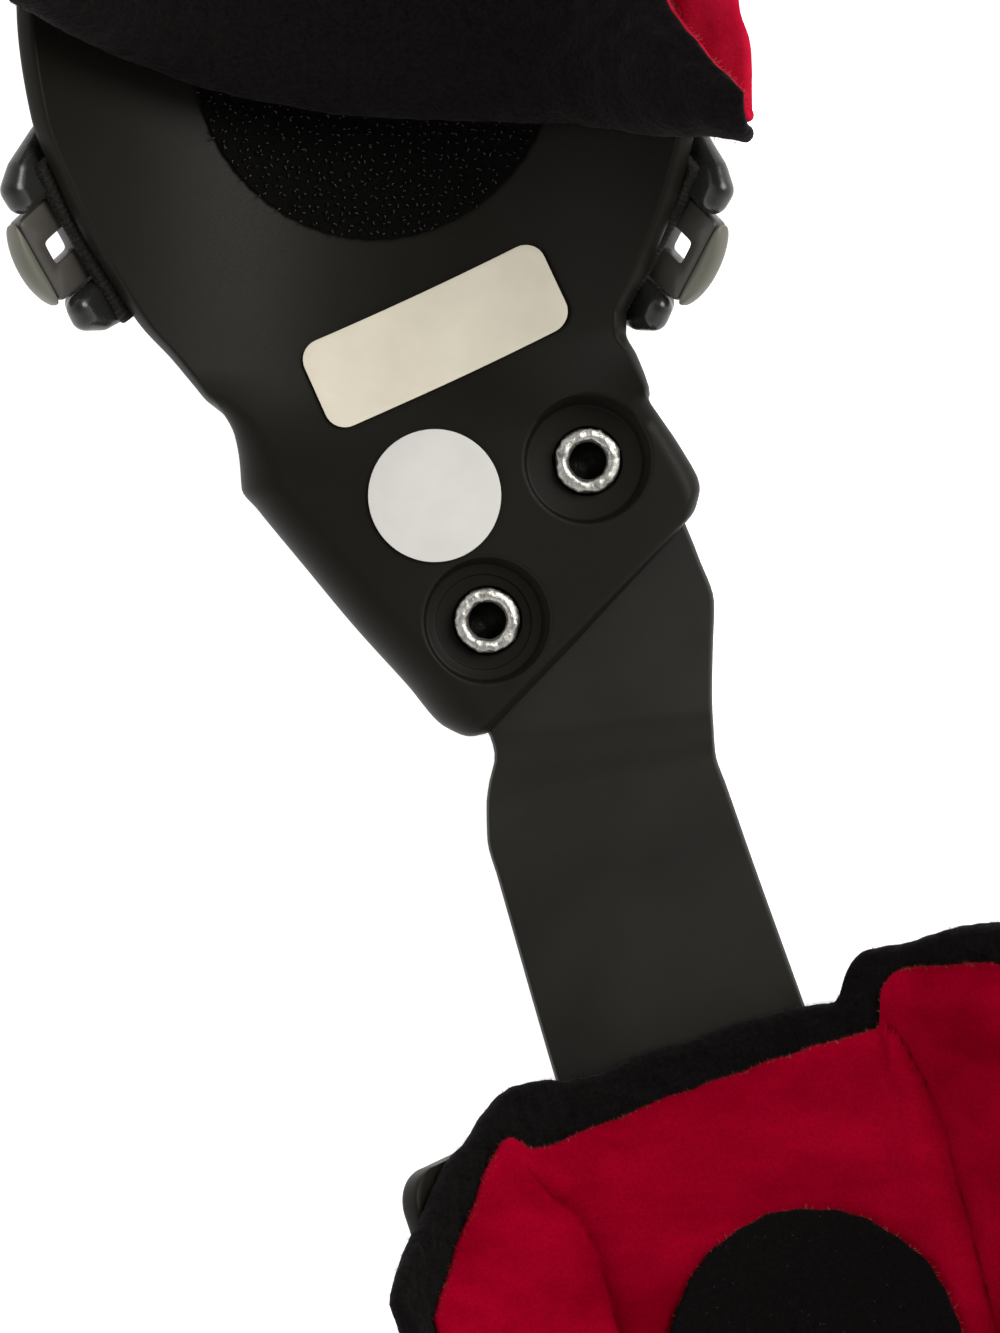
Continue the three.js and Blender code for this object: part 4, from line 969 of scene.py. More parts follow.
# Fold line, as a share across the half width and a share of the way up the shell.
foldLine = np.array([(-1, 0.728), (-0.66, 0.704), (-0.33, 0.682), (0, 0.667), (0.25, 0.660), (0.44, 0.655),
                     (0.66, 0.640), (0.8, 0.628), (0.93, 0.619), (1, 0.611), (1.05, 0.603)])
# Widths of the two layers: a share of the layer's length, then the left and right shares of the half width.
underWidths = np.array([(0, 0.66, 0.64), (0.04, 0.84, 0.81), (0.12, 0.95, 0.91), (0.3, 1, 0.95), (0.6, 1, 0.97),
                        (0.8, 1, 0.985), (0.87, 1, 1.006), (0.95, 1, 1.014), (1, 1, 1.014)])
flapWidths = np.array([(0, 1, 1.0), (0.07, 0.975, 0.93), (0.17, 0.94, 0.853), (0.31, 0.88, 0.76),
                       (0.5, 0.77, 0.65), (0.7, 0.64, 0.56), (0.88, 0.5, 0.45), (0.96, 0.4, 0.36), (1, 0.26, 0.22)])
upperLiner = {"baseThick": 3, "faceThick": 2, "fold": 5, "top": 167, "flapTop": 165, "flare": 58, "flareLeft": 11,
              "flareRight": 15, "curlRight": 25, "curlLeft": 1, "rows": (64, 18, 120), "columns": 170,
              "ragged": 0.12}


# Place of the folded liner's middle at a share of its half width. It follows the trough round, stands up past the
# shell's edge and curls outwards there. Lift carries it square to itself, towards the arm.
def linerPlace(share, lift):
    lying = upperCuff["radius"] - 1.2 - 2 * gap - upperLiner["baseThick"] / 2
    flare = math.radians(upperLiner["flare"])
    arc = lying * flare
    side = np.where(share < 0, -1, 1)
    reach = np.where(share < 0, upperLiner["flareLeft"], upperLiner["flareRight"])
    curl = np.radians(np.where(share < 0, upperLiner["curlLeft"], upperLiner["curlRight"])) / reach
    distance = np.abs(share) * (arc + reach)
    turn = np.minimum(distance / lying, flare)
    slope = turn - curl * np.maximum(distance - arc, 0)
    out = lying * np.sin(turn) + (np.sin(turn) - np.sin(slope)) / curl - np.sin(slope / 2) * lift
    up = upperCuff["axisZ"] - lying * np.cos(turn) + (np.cos(slope) - np.cos(turn)) / curl + np.cos(slope / 2) * lift
    return upperCuff["middle"][0] + side * out, up


# The middle of the folded liner: it lies in the trough, turns over at the fold and comes back as the flap. The
# insets draw in its edges, as shares of the half width: the left, then the right below, in the fold and in the flap.
def foldedGrid(insetLeft, insetUnder, insetFold, insetFlap):
    radius = upperLiner["fold"]
    under, bends, flap = upperLiner["rows"]
    under = np.linspace(0, 1, under)
    bend = np.linspace(0, math.pi, bends)[1:-1]
    flap = np.linspace(0, 1, flap)
    turned = np.concatenate([np.zeros(len(under)), (1 - np.cos(bend)) / 2, np.ones(len(flap))])
    widths = []
    for k in (1, 2):
        between = lerp(underWidths[-1, k], flapWidths[0, k], bend / math.pi)
        widths.append(np.concatenate([throughTable(underWidths[:, 0], underWidths[:, k], under), between,
                                      throughTable(flapWidths[:, 0], flapWidths[:, k], flap)]))
    torn = np.zeros((len(turned), 3))
    torn[:, 0] = np.arange(len(turned)) * 0.55
    ragged = upperLiner["ragged"] / upperCuff["radius"]
    left = widths[0] - insetLeft + ragged * wobble(torn, 7, 3)
    insets = throughTable([0, 0.5, 1], [insetUnder, insetFold, insetFlap], turned)
    right = widths[1] - insets + ragged * wobble(torn, 6, 4)
    share = lerp(-left[:, None], right[:, None], np.linspace(0, 1, upperLiner["columns"])[None])
    fold = throughTable(foldLine[:, 0], foldLine[:, 1], share) * 162 + upperLiner["baseThick"] / 2 + radius
    y = np.concatenate([lerp(upperLiner["top"], fold[:len(under)], under[:, None]),
                        fold[len(under):-len(flap)] - radius * np.sin(bend)[:, None],
                        lerp(fold[-len(flap):], upperLiner["flapTop"], flap[:, None])])
    x, z = linerPlace(share, 2 * radius * turned[:, None])
    return np.stack([x, y, z], -1), turned[:, None] * np.ones_like(x)


# The folded liner: its black base and red facing lie on each side of one middle surface, both with slow waves and
# a nap, and stray fibres stand at the flap's two sides, round its fold and over its back.
def makeUpperLiner():
    thick, face = upperLiner["baseThick"], upperLiner["faceThick"]
    grid, turned = foldedGrid(0, 0.055, 0.002, 0)
    normals = gridNormals(grid)
    slow = 0.55 * wobble(grid, 34, 11, 2)
    inwards = np.linalg.norm(grid - grid[:, -1:], axis=-1)
    thin = 1 - 0.55 * turned * (1 - smoothStep(inwards, 0, 5))
    grid = grid + normals * (turned * slow + (1 - turned) * 0.05)[..., None]
    napped = 0.16 * wobble(grid, 2.6, 12, 2) + 0.25 * wobble(grid, 9, 13, 2)
    top = grid + normals * (thick / 2 * thin)[..., None]
    bottom = grid - normals * (thick / 2 * thin + turned * napped)[..., None]
    points, faces = closedGrid(top, bottom, thick * 0.38, 7)
    made = piece("upper_liner_loop_cloth", points, faces, finishes["loop"], ["upper_liner_base"])
    base = grid
    grid, turned = foldedGrid(0.002, 0, 0.012, 0.004)
    grid = grid + normals * (turned * slow + (1 - turned) * 0.05)[..., None]
    near = (thick / 2 * thin + gap)[..., None]
    folds = 0.5 * wobble(grid * np.array([1.3, 0.35, 1.3]), 12, 14, 2) * (1 - turned)
    top = grid + normals * (near + (face * thin + folds)[..., None])
    points, faces = closedGrid(top, grid + normals * near, face * 0.45, 6)
    # The facing takes the paler copy of the velour: painted light.
    made = piece("upper_liner_velour", points, faces, finishes["paintedLightVelour"], ["upper_liner_face"])
    chance = np.random.default_rng(21)
    first = upperLiner["rows"][0]
    strips = []
    for column, inner in ((-1, -3), (0, 2)):
        low, part = placesAlong(chance, first + 12, len(grid) - 1.01, 1500)
        level = near[low, column] + face * thin[low, column][:, None] * chance.uniform(0.1, 0.95, (1500, 1))
        edge = lerp(grid[low, column], grid[low + 1, column], part) + normals[low, column] * level
        way = unit(edge - (lerp(grid[low, inner], grid[low + 1, inner], part) + normals[low, inner] * level))
        way = way + chance.normal(0, 0.45, way.shape)
        strips.append(fibres(edge, way, chance.uniform(0.5, 1.3, 1500), 0.07, 0.6, 22 + column))
    points, faces = joined(*strips)
    piece("upper_liner_red_fibres", points, faces, finishes["fringe"], ["upper_liner_face"])
    strips = []
    bend = first + upperLiner["rows"][1] // 2
    count = 2200
    low, part = placesAlong(chance, 0, grid.shape[1] - 1.01, count)
    row = np.clip(bend + chance.normal(0, 3.2, count), 0, len(base) - 1).astype(int)
    edge = lerp(base[row, low], base[row, low + 1], part) - normals[row, low] * thick / 2
    way = -normals[row, low] + chance.normal(0, 0.5, (count, 3))
    strips.append(fibres(edge, way, chance.uniform(0.25, 0.8, count), 0.06, 0.6, 31))
    count = 4200
    row = chance.integers(first + upperLiner["rows"][1], len(base) - 1, count)
    column = chance.integers(0, base.shape[1] - 1, count)
    skin = base - normals * (thick / 2 + turned * napped)[..., None]
    way = -normals[row, column] * 0.5 + chance.normal(0, 0.6, (count, 3))
    strips.append(fibres(skin[row, column], way, chance.uniform(0.3, 0.9, count), 0.055, 0.8, 32))
    points, faces = joined(*strips)
    piece("upper_liner_black_fibres", points, faces, finishes["loop"], ["upper_liner_base"])


makeUpperLiner()
print("upper liner made")


# Forearm liner

# Ends of the black base: a share of its turn, then its near and far ends as shares of the cuff's length.
baseEnds = np.array([
    (-1, 0.165, 0.84), (-0.93, 0.135, 0.95), (-0.84, 0.1, 1.01), (-0.74, 0.062, 1.03), (-0.62, 0.024, 1.04),
    (-0.55, -0.006, 1.04), (-0.46, -0.026, 1.04), (-0.385, -0.014, 1.04), (-0.34, -0.001, 1.04),
    (-0.17, 0.003, 1.04), (0, 0.006, 1.04), (0.15, 0.009, 1.04), (0.285, 0.008, 1.04), (0.34, -0.031, 1.04),
    (0.39, -0.048, 1.04), (0.5, -0.045, 1.04), (0.62, -0.041, 1.04), (0.74, -0.033, 1.03), (0.86, 0, 1),
    (0.95, 0.06, 0.94), (1, 0.14, 0.84),
])
# Ends of the red facing, in the same way.
faceEnds = np.array([
    (-1, 0.215, 0.82), (-0.93, 0.19, 0.9), (-0.84, 0.153, 0.95), (-0.73, 0.107, 0.97), (-0.62, 0.055, 0.98),
    (-0.54, 0.034, 0.98), (-0.475, 0.062, 0.98), (-0.41, 0.067, 0.98), (-0.28, 0.067, 0.98),
    (-0.14, 0.065, 0.98), (0, 0.064, 0.98), (0.14, 0.062, 0.98), (0.28, 0.061, 0.98), (0.4, 0.062, 0.98),
    (0.455, 0, 0.98), (0.51, -0.016, 0.98), (0.61, -0.006, 0.98), (0.74, 0.004, 0.97), (0.87, 0.04, 0.95),
    (0.95, 0.09, 0.9), (1, 0.16, 0.82),
])
# How a cushion swells between its two ends: a share of its length and a share of its rise.
cushionSwell = np.array([(0, 0), (0.05, 0.5), (0.14, 0.85), (0.3, 1), (0.5, 1), (0.7, 1), (0.86, 0.85), (0.95, 0.5),
                         (1, 0)])
lowerLiner = {
    "length": 94,
    "baseTurn": 66,
    "faceTurn": 62,
    "baseThick": 3,
    "edge": 1,
    "middleRise": 4.6,
    "wingRise": 4.6,
    "creases": (-0.515, 0.452),
    "discRadius": 20.6,
    "discThick": 1.2,
    "columns": 260,
    "rows": 150,
}
baseRadius = lowerCuff["radius"] - gap
faceRadius = baseRadius - lowerLiner["baseThick"] - gap


# Creases between the cushions: a share of the length, then the left and the right crease as shares of the turn.
creaseLines = np.array([
    (-0.01, -0.571, 0.45), (0.005, -0.571, 0.428), (0.04, -0.572, 0.435), (0.073, -0.542, 0.454),
    (0.093, -0.508, 0.461), (0.127, -0.478, 0.47), (0.17, -0.466, 0.483), (0.24, -0.467, 0.487),
    (0.31, -0.477, 0.478), (0.41, -0.478, 0.469), (0.55, -0.475, 0.454), (1, -0.47, 0.458),
])


# Quarter of a circle that rises from 0 at a cushion's edge to 1 at a distance in.
def roundEdge(distance, width):
    share = np.clip(distance / width, 0, 1)
    return np.sqrt(np.maximum(1 - (1 - share) ** 2, 0))


# Shape of the three cushions: each is round towards its edges, steep where it bulges over its neighbour.
def cushionLift(turn, run):
    left = throughTable(creaseLines[:, 0], creaseLines[:, 1], run)
    right = throughTable(creaseLines[:, 0], creaseLines[:, 2], run)
    leftWing = roundEdge(turn + 1, 0.3) * roundEdge(left - turn, 0.085) * lowerLiner["wingRise"]
    middle = roundEdge(turn - left, 0.42) * roundEdge(right - turn, 0.085) * lowerLiner["middleRise"]
    rightWing = roundEdge(turn - right, 0.34) * roundEdge(1 - turn, 0.3) * lowerLiner["wingRise"]
    rise = np.where(turn < left, leftWing, np.where(turn < right, middle, rightWing))
    swell = throughTable(cushionSwell[:, 0], cushionSwell[:, 1], run)
    across = turn * math.radians(lowerLiner["faceTurn"]) * faceRadius
    along = run * lowerLiner["length"]
    away = np.hypot(across, along - lowerLiner["length"] * 0.5)
    dent = 0.9 * (1 - smoothStep(away, 17, 31))
    flat = np.stack([across, along, np.zeros_like(across)], -1)
    folds = 0.5 * wobble(flat * np.array([0.35, 1.0, 1.0]), 24, 41, 2) + 0.08 * wobble(flat, 9, 42, 2)
    return lowerLiner["edge"] + swell * (rise - dent + folds * np.minimum(rise, 1))


# Shares of the length from 0 to 1, closer together towards both ends.
def runRows(count):
    share = np.linspace(0, 1, count)
    return share - 0.09 * np.sin(2 * math.pi * share)


# Inner and outer faces of the base, then of the red facing. Each runs between the ends that its table gives, the
# cushions' lift is taken off the facing's radius, and slow waves tear the ends and lump the base.
def lowerGrids():
    columns, rows = lowerLiner["columns"], lowerLiner["rows"]
    run = runRows(rows)[:, None]
    turns = np.linspace(-1, 1, columns)[None]
    torn = np.column_stack([turns[0] * 62, np.zeros(columns), np.zeros(columns)])
    ragged = (0.55 * wobble(torn, 11, 51, 3) / lowerLiner["length"])[None]
    near = throughTable(baseEnds[:, 0], baseEnds[:, 1], turns) + ragged
    far = throughTable(baseEnds[:, 0], baseEnds[:, 2], turns) + ragged
    along = lerp(near, far, run) * lowerLiner["length"]
    turn = turns * math.radians(lowerLiner["baseTurn"]) + np.zeros_like(along)
    plain = cuffPoint(lowerCuff, turn, along, baseRadius)
    lumps = 0.35 * wobble(plain, 7, 52, 2) + 0.16 * wobble(plain, 2.4, 53, 2)
    base = (cuffPoint(lowerCuff, turn, along, baseRadius - lowerLiner["baseThick"] - lumps.clip(-0.4, 0.24)), plain)
    left, right = lowerLiner["creases"]
    warped = np.interp(turns, [-1, left, 0, right, 1], [-1, -0.475, 0, 0.455, 1])
    ragged = (0.16 * wobble(torn, 5, 54, 3) / lowerLiner["length"])[None]
    near = throughTable(faceEnds[:, 0], faceEnds[:, 1], warped) + ragged
    far = throughTable(faceEnds[:, 0], faceEnds[:, 2], warped) + ragged
    along = lerp(near, far, run) * lowerLiner["length"]
    turn = turns * math.radians(lowerLiner["faceTurn"]) + np.zeros_like(along)
    lift = cushionLift(turns + np.zeros_like(along), run + np.zeros_like(along))
    face = (cuffPoint(lowerCuff, turn, along, faceRadius - lift), cuffPoint(lowerCuff, turn, along, faceRadius))
    return base, face


# Height of the middle cushion at plan places, for the disc that lies on it.
def cushionHeight(x, y):
    away = np.stack([x, y], -1) - lowerCuff["middle"]
    across = away @ lowerCuff["across"]
    along = away @ lowerCuff["along"]
    lift = np.full_like(across, lowerLiner["middleRise"])
    for _ in range(5):
        turn = np.arcsin(across / (faceRadius - lift)) / math.radians(lowerLiner["faceTurn"])
        near = throughTable(faceEnds[:, 0], faceEnds[:, 1], turn)
        far = throughTable(faceEnds[:, 0], faceEnds[:, 2], turn)
        lift = cushionLift(turn, (along / lowerLiner["length"] - near) / (far - near))
    return lowerCuff["axisZ"] - np.sqrt((faceRadius - lift) ** 2 - across**2)


# Random roots on the near edge of a layer, from a lowest share of its thickness up, with the way out of the edge
# and each root's share.
def nearEdge(layer, chance, count, lowest):
    top, bottom = layer
    low, part = placesAlong(chance, 0, lowerLiner["columns"] - 1.01, count)
    level = chance.uniform(lowest, 1.0, count)[:, None]
    edge = lerp(lerp(bottom[0, low], bottom[0, low + 1], part), lerp(top[0, low], top[0, low + 1], part), level)
    return edge, unit(bottom[0, low] - bottom[3, low]), level


# The forearm liner's base, cushions and disc, each with stray fibres at its edge, and lint on the disc.
def makeLowerLiner():
    base, face = lowerGrids()
    points, faces = closedGrid(*base, lowerLiner["baseThick"] * 0.4, 7)
    made = piece("lower_liner_loop_cloth", points, faces, finishes["loop"], ["lower_liner_base"])
    points, faces = closedGrid(*face, lowerLiner["edge"] * 0.45, 5)
    made = piece("lower_liner_velour", points, faces, finishes["velour"], ["lower_liner_face"])
    middle = lowerCuff["middle"] + lowerCuff["along"] * lowerLiner["length"] / 2 + (-1, 0.9)
    rim = circle(lowerLiner["discRadius"], 200)
    turn = np.arange(200) * 2 * math.pi / 200
    rim = rim * (1 + 0.006 * np.sin(turn * 11) + 0.005 * np.sin(turn * 27 + 1))[:, None]
    discTop = gap + lowerLiner["discThick"]
    points, faces = layPatch(middle, rim, cushionHeight, gap, discTop, 40, 0.5)
    points[:, 2] += 0.10 * wobble(points, 3.0, 61, 2) * (np.linalg.norm(points[:, :2] - middle, axis=1) < 19.4)
    made = piece("lower_liner_disc_cloth", points, faces, finishes["disc"], ["lower_liner_disc"])
    chance = np.random.default_rng(71)
    count = 900
    turn = chance.uniform(0, 2 * math.pi, count)
    out = wayAt(turn)
    plan = middle + out * (lowerLiner["discRadius"] - chance.uniform(0, 0.3, count))[:, None]
    roots = np.column_stack([plan, cushionHeight(*plan.T) + chance.uniform(0.4, discTop, count)])
    way = np.column_stack([out, np.full(count, 0.35)]) + chance.normal(0, 0.4, (count, 3))
    red = [fibres(roots, way, chance.uniform(0.3, 0.7, count), 0.05, 0.6, 72)]
    tan = [fibres(roots[::9], way[::9], chance.uniform(0.4, 0.9, len(roots[::9])), 0.08, 0.4, 77)]
    count = 3600
    edge, back, _ = nearEdge(face, chance, count, 0.05)
    way = back + chance.normal(0, 0.45, (count, 3))
    red.append(fibres(edge, way, chance.uniform(0.3, 0.8, count), 0.05, 0.5, 73))
    tan.append(fibres(edge[::8], way[::8], chance.uniform(0.4, 0.9, len(edge[::8])), 0.08, 0.4, 78))
    points, faces = joined(*tan)
    piece("lower_liner_tan_fibres", points, faces, finishes["tanFibre"], ["lower_liner_face"])
    points, faces = joined(*red)
    piece("lower_liner_red_fibres", points, faces, finishes["redFibre"], ["lower_liner_face"])
    count = 4200
    edge, back, level = nearEdge(base, chance, count, 0)
    way = back + chance.normal(0, 0.5, (count, 3))
    edge = edge + back * 0.9 * (1 - (2 * level - 1) ** 2)
    black = [fibres(edge, way, chance.uniform(0.4, 1.1, count), 0.06, 0.7, 74)]
    count = 4200
    row = chance.integers(0, 26, count)
    column = chance.integers(1, lowerLiner["columns"] - 1, count)
    skin = base[0][row, column]
    inward = unit(base[0][row, column] - base[1][row, column])
    way = inward * 0.6 + chance.normal(0, 0.6, (count, 3))
    black.append(fibres(skin, way, chance.uniform(0.3, 0.9, count), 0.055, 0.8, 75))
    points, faces = joined(*black)
    piece("lower_liner_black_fibres", points, faces, finishes["loop"], ["lower_liner_base"])
    count = 130
    turn = chance.uniform(0, 2 * math.pi, count)
    far = np.sqrt(chance.uniform(0, 1, count)) * (lowerLiner["discRadius"] - 0.8)
    plan = middle + wayAt(turn) * far[:, None]
    roots = np.column_stack([plan, cushionHeight(*plan.T) + discTop + 0.05])
    way = np.column_stack([chance.normal(0, 1, (count, 2)), np.full(count, 0.06)])
    points, faces = fibres(roots, way, chance.uniform(0.2, 0.6, count), 0.05, 0.2, 76)
    piece("lower_disc_lint", points, faces, finishes["lint"], ["lower_liner_disc"])


makeLowerLiner()
print("forearm liner made")


# Straps

straps = {
    "upper": {"cuff": upperCuff, "turn": 48.1, "short": 2, "along": 72.6, "tilt": 38},
    "lower": {"cuff": lowerCuff, "turn": 52, "short": 2, "along": 72, "tilt": 0},
    "width": 25,
    "thick": 2,
    "rows": 190,
    "columns": 30,
}


# A strap round the outside of a cuff. Its ends are cut at its tilt, so its middle line runs in an arch.
def makeStrap(name):
    strap = straps[name]
    cuff = strap["cuff"]
    radius = cuff["radius"] + shellWall + gap + straps["thick"] / 2
    arc = radius * math.radians(strap["turn"] - strap["short"])
    sag = arc * math.tan(math.radians(strap["tilt"])) / 2
    share = np.linspace(-1, 1, straps["rows"])[:, None]
    aside = np.linspace(-0.5, 0.5, straps["columns"])[None] * straps["width"]
    slope = unit(np.stack([np.full_like(share, arc), 2 * sag * share], -1))
    run = share * arc - aside * slope[..., 1]
    along = strap["along"] - sag * (1 - share**2) + aside * slope[..., 0]
    grid = cuffPoint(cuff, run / radius, along, radius)
    normals = gridNormals(grid)
    ribs = 0.01 * np.sin(aside * 2 * math.pi / 1.6) * np.ones_like(share)
    half = straps["thick"] / 2
    flat = np.stack([aside + np.zeros_like(run), run, np.zeros_like(run)], -1)
    points, faces = closedGrid(grid + normals * (half + ribs)[..., None], grid - normals * (half + ribs)[..., None],
                               0.55, 6)
    extra, _ = closedGrid(flat, flat + np.array([0, 0, 1.0]), 0.001, 6)
    piece(f"{name}_strap_webbing", points, faces, finishes["webbing"], [f"{name}_strap"], extra=extra)
    chance = np.random.default_rng(81)
    strips = []
    for end, inner in ((0, 3), (-1, -4)):
        count = 700
        column = chance.integers(0, straps["columns"], count)
        level = chance.uniform(-half, 0.3 * half, count)[:, None]
        beside = grid[end, np.clip(column + 1, 0, straps["columns"] - 1)] - grid[end, column]
        root = grid[end, column] + normals[end, column] * level + beside * chance.uniform(0, 1, (count, 1))
        way = unit(grid[end, column] - grid[inner, column]) + chance.normal(0, 0.4, (count, 3))
        strips.append(fibres(root, way, chance.uniform(0.3, 0.9, count), 0.07, 0.5, 82))
    points, faces = joined(*strips)
    # The frayed ends take the pale lint colour: real loose fibres, painted paler as a highlight on their lit edge.
    piece(f"{name}_strap_frayed_ends", points, faces, finishes["lint"], [f"{name}_strap"])


for name in ("upper", "lower"):
    makeStrap(name)
print("straps made")


# Buckles, made flat: x along the rim, y outwards past it, z away from the shell.

buckle = {
    "half": 14,
    "backHalf": 13.5,
    "tipHalf": 11,
    "behind": 10,
    "shoulder": 4,
    "ahead": 3.4,
    "thick": 2.7,
    "slot": 6.8,
    "slotFloor": -5.2,
    "tabHalf": 6.5,
    "tabStart": -4.9,
    "tabEnd": 4.8,
    "tabThick": 2.5,
    "hole": (1.8, 2.3),
    "holeAlong": 0,
    "lipHalf": 6.6,
    "lipThick": 3.3,
}
# Balls that an ear is stretched over: x, y, z and radius.
earBalls = [(8.9, 2.4, 0.1, 2.05), (10.4, 2.3, 0.2, 2.15), (12.3, 0.1, 0.1, 1.75), (14.4, -6.4, 0.4, 1.2),
            (8.3, -1.6, 0.1, 1.5), (8.4, -5.4, 0.8, 1.4)]


# Rounds each corner of a closed outline with its own radius, as a circle that touches both sides.
def roundCorners(corners, steps=10):
    places = np.array([corner[:2] for corner in corners], float)
    line = []
    for k, (x, y, radius) in enumerate(corners):
        here = places[k]
        before = unit(places[k - 1] - here)
        after = unit(places[(k + 1) % len(places)] - here)
        half = math.acos(float(np.clip(before @ after, -1, 1))) / 2
        middle = here + unit(before + after) * radius / math.sin(half)
        start = here + before * radius / math.tan(half) - middle
        end = here + after * radius / math.tan(half) - middle
        first = math.atan2(start[1], start[0])
        swing = math.atan2(start[0] * end[1] - start[1] * end[0], start @ end)
        for step in range(steps + 1):
            turn = first + swing * step / steps
            line.append(middle + radius * np.array([math.cos(turn), math.sin(turn)]))
    line = np.array(line)
    far = np.concatenate([[0], np.cumsum(np.linalg.norm(np.roll(line, -1, 0) - line, axis=1))])
    closed = np.vstack([line, line[:1]])
    at = np.linspace(0, far[-1], 320, endpoint=False)
    return np.column_stack([np.interp(at, far, closed[:, 0]), np.interp(at, far, closed[:, 1])])


# A plate over an outline whose edges are quarter circles.
def roundPlate(outline, low, high, edge, loops=7):
    ahead = np.roll(outline, -1, 0) - np.roll(outline, 1, 0)
    for _ in range(4):
        ahead = (np.roll(ahead, 1, 0) + 2 * ahead + np.roll(ahead, -1, 0)) / 4
    out = unit(np.column_stack([ahead[:, 1], -ahead[:, 0]]))
    area = (outline[:, 0] * np.roll(outline[:, 1], -1) - np.roll(outline[:, 0], -1) * outline[:, 1]).sum()
    out = out * np.sign(area)
    rings = []
    for start, sign in ((low, -1), (high, 1)):
        turns = np.linspace(math.pi / 2, 0, loops) if sign < 0 else np.linspace(0, math.pi / 2, loops)
        for turn in turns:
            inset = edge * (1 - math.cos(turn))
            z = start - sign * edge * (1 - math.sin(turn))
            rings.append(np.column_stack([outline - out * inset, np.full(len(outline), z)]))
    return np.concatenate(rings), cappedFaces(len(rings), len(outline))


# A plate under the strap's end and an ear on each side of it, melted together on a fine grid and smoothed.
def receiver():
    half, back, tip, ahead, slot = (buckle[key] for key in ("half", "backHalf", "tipHalf", "ahead", "slot"))
    floor, behind, shoulder = (buckle[key] for key in ("slotFloor", "behind", "shoulder"))
    corners = [(-back, -behind, 3), (back, -behind, 3), (half, -shoulder, 2.5), (tip, ahead, 2.6),
               (slot, ahead, 1.9), (slot, floor, 1), (-slot, floor, 1), (-slot, ahead, 1.9),
               (-tip, ahead, 2.6), (-half, -shoulder, 2.5)]
    plate = roundPlate(roundCorners(corners), 0, buckle["thick"], 1.1)
    bodies = (plate, stretched(earBalls), stretched([(-x, y, z, r) for x, y, z, r in earBalls]))
    return melted(*joined(*[(points, outwards(points, faces)) for points, faces in bodies]), 0.27, 9)


# Skin stretched tight over balls.
def stretched(balls):
    skin = bmesh.new()
    for x, y, z, radius in balls:
        bmesh.ops.create_icosphere(skin, subdivisions=3, radius=radius, matrix=Matrix.Translation((x, y, z)))
    inside = bmesh.ops.convex_hull(skin, input=skin.verts)["geom_interior"]
    bmesh.ops.delete(skin, geom=[part for part in inside if isinstance(part, bmesh.types.BMVert)], context="VERTS")
    skin.verts.index_update()
    points = np.array([vert.co for vert in skin.verts])
    faces = np.array([[vert.index for vert in face.verts] for face in skin.faces])
    skin.free()
    return points, [faces]


# Melts closed bodies that cross into one skin of small squares, and smooths it.
def melted(points, faces, size, rounds):
    mesh, _ = meshFrom("melted", points, faces)
    made = bpy.data.objects.new("melted", mesh)
    scene.collection.objects.link(made)
    remesh = made.modifiers.new("melt", "REMESH")
    remesh.mode = "VOXEL"
    remesh.voxel_size = size * mm
    smooth = made.modifiers.new("smooth", "SMOOTH")
    smooth.factor, smooth.iterations = 0.5, rounds
    ready = made.evaluated_get(bpy.context.evaluated_depsgraph_get()).data
    points = np.empty(len(ready.vertices) * 3)
    ready.vertices.foreach_get("co", points)
    loops = np.empty(len(ready.loops), int)
    ready.loops.foreach_get("vertex_index", loops)
    bpy.data.objects.remove(made)
    return points.reshape(-1, 3) / mm, [loops.reshape(-1, 4)]


# Tab with a square hole, a ring of loops in section, and a lip whose outer side is an arc.
def hook():
    half, start, end = buckle["tabHalf"], buckle["tabStart"], buckle["tabEnd"]
    along = buckle["holeAlong"]
    way = circle(1, 128)
    power = 7  # the hole's corners: the higher, the sharper
    inner = way * (1 / (np.abs(way / np.array(buckle["hole"])) ** power).sum(1) ** (1 / power))[:, None]
    reach = np.where(way[:, 1] > 0, end - along, along - start)
    outer = way * (1 / ((np.abs(way[:, 0]) / half) ** 12 + (np.abs(way[:, 1]) / reach) ** 12) ** (1 / 12))[:, None]
    middle = np.array([0, along])
    low = (buckle["thick"] - buckle["tabThick"]) / 2
    high = low + buckle["tabThick"]
    edge = 0.3
    heights = [(low, 1), (low + edge * 0.3, 0.3), (low + edge, 0), (high - edge, 0), (high - edge * 0.3, 0.3),
               (high, 1)]
    section = []
    for ring, sign in ((inner, 1), (outer, -1)):
        loops = [np.column_stack([middle + ring * (1 + sign * edge * back / np.linalg.norm(ring, axis=1))[:, None],
                                  np.full(128, z)]) for z, back in heights]
        section += loops if sign > 0 else loops[::-1]
    section.append(section[0])
    points = np.concatenate(section[:-1])
    count = len(points)
    faces = [loopQuads(len(section), 128) % count]
    stations = np.sin(np.linspace(-math.pi / 2, math.pi / 2, 40))[1:-1]
    rings = []
    around = np.linspace(0, 2 * math.pi, 36, endpoint=False)
    for share in stations:
        full = (1 - abs(share) ** 3.2) ** (1 / 3.2)
        outerSide = end + 2.6 - 1.7 * share**2
        innerSide = end - 0.1 - 0.2 * share**2
        y = (outerSide + innerSide) / 2 + (outerSide - innerSide) / 2 * full * np.cos(around)
        swell = np.sign(np.sin(around)) * np.abs(np.sin(around)) ** 0.8
        z = buckle["thick"] / 2 + buckle["lipThick"] / 2 * full * swell
        rings.append(np.column_stack([np.full(36, share * buckle["lipHalf"]), y, z]))
    return (points, faces), (np.concatenate(rings), cappedFaces(len(rings), 36))


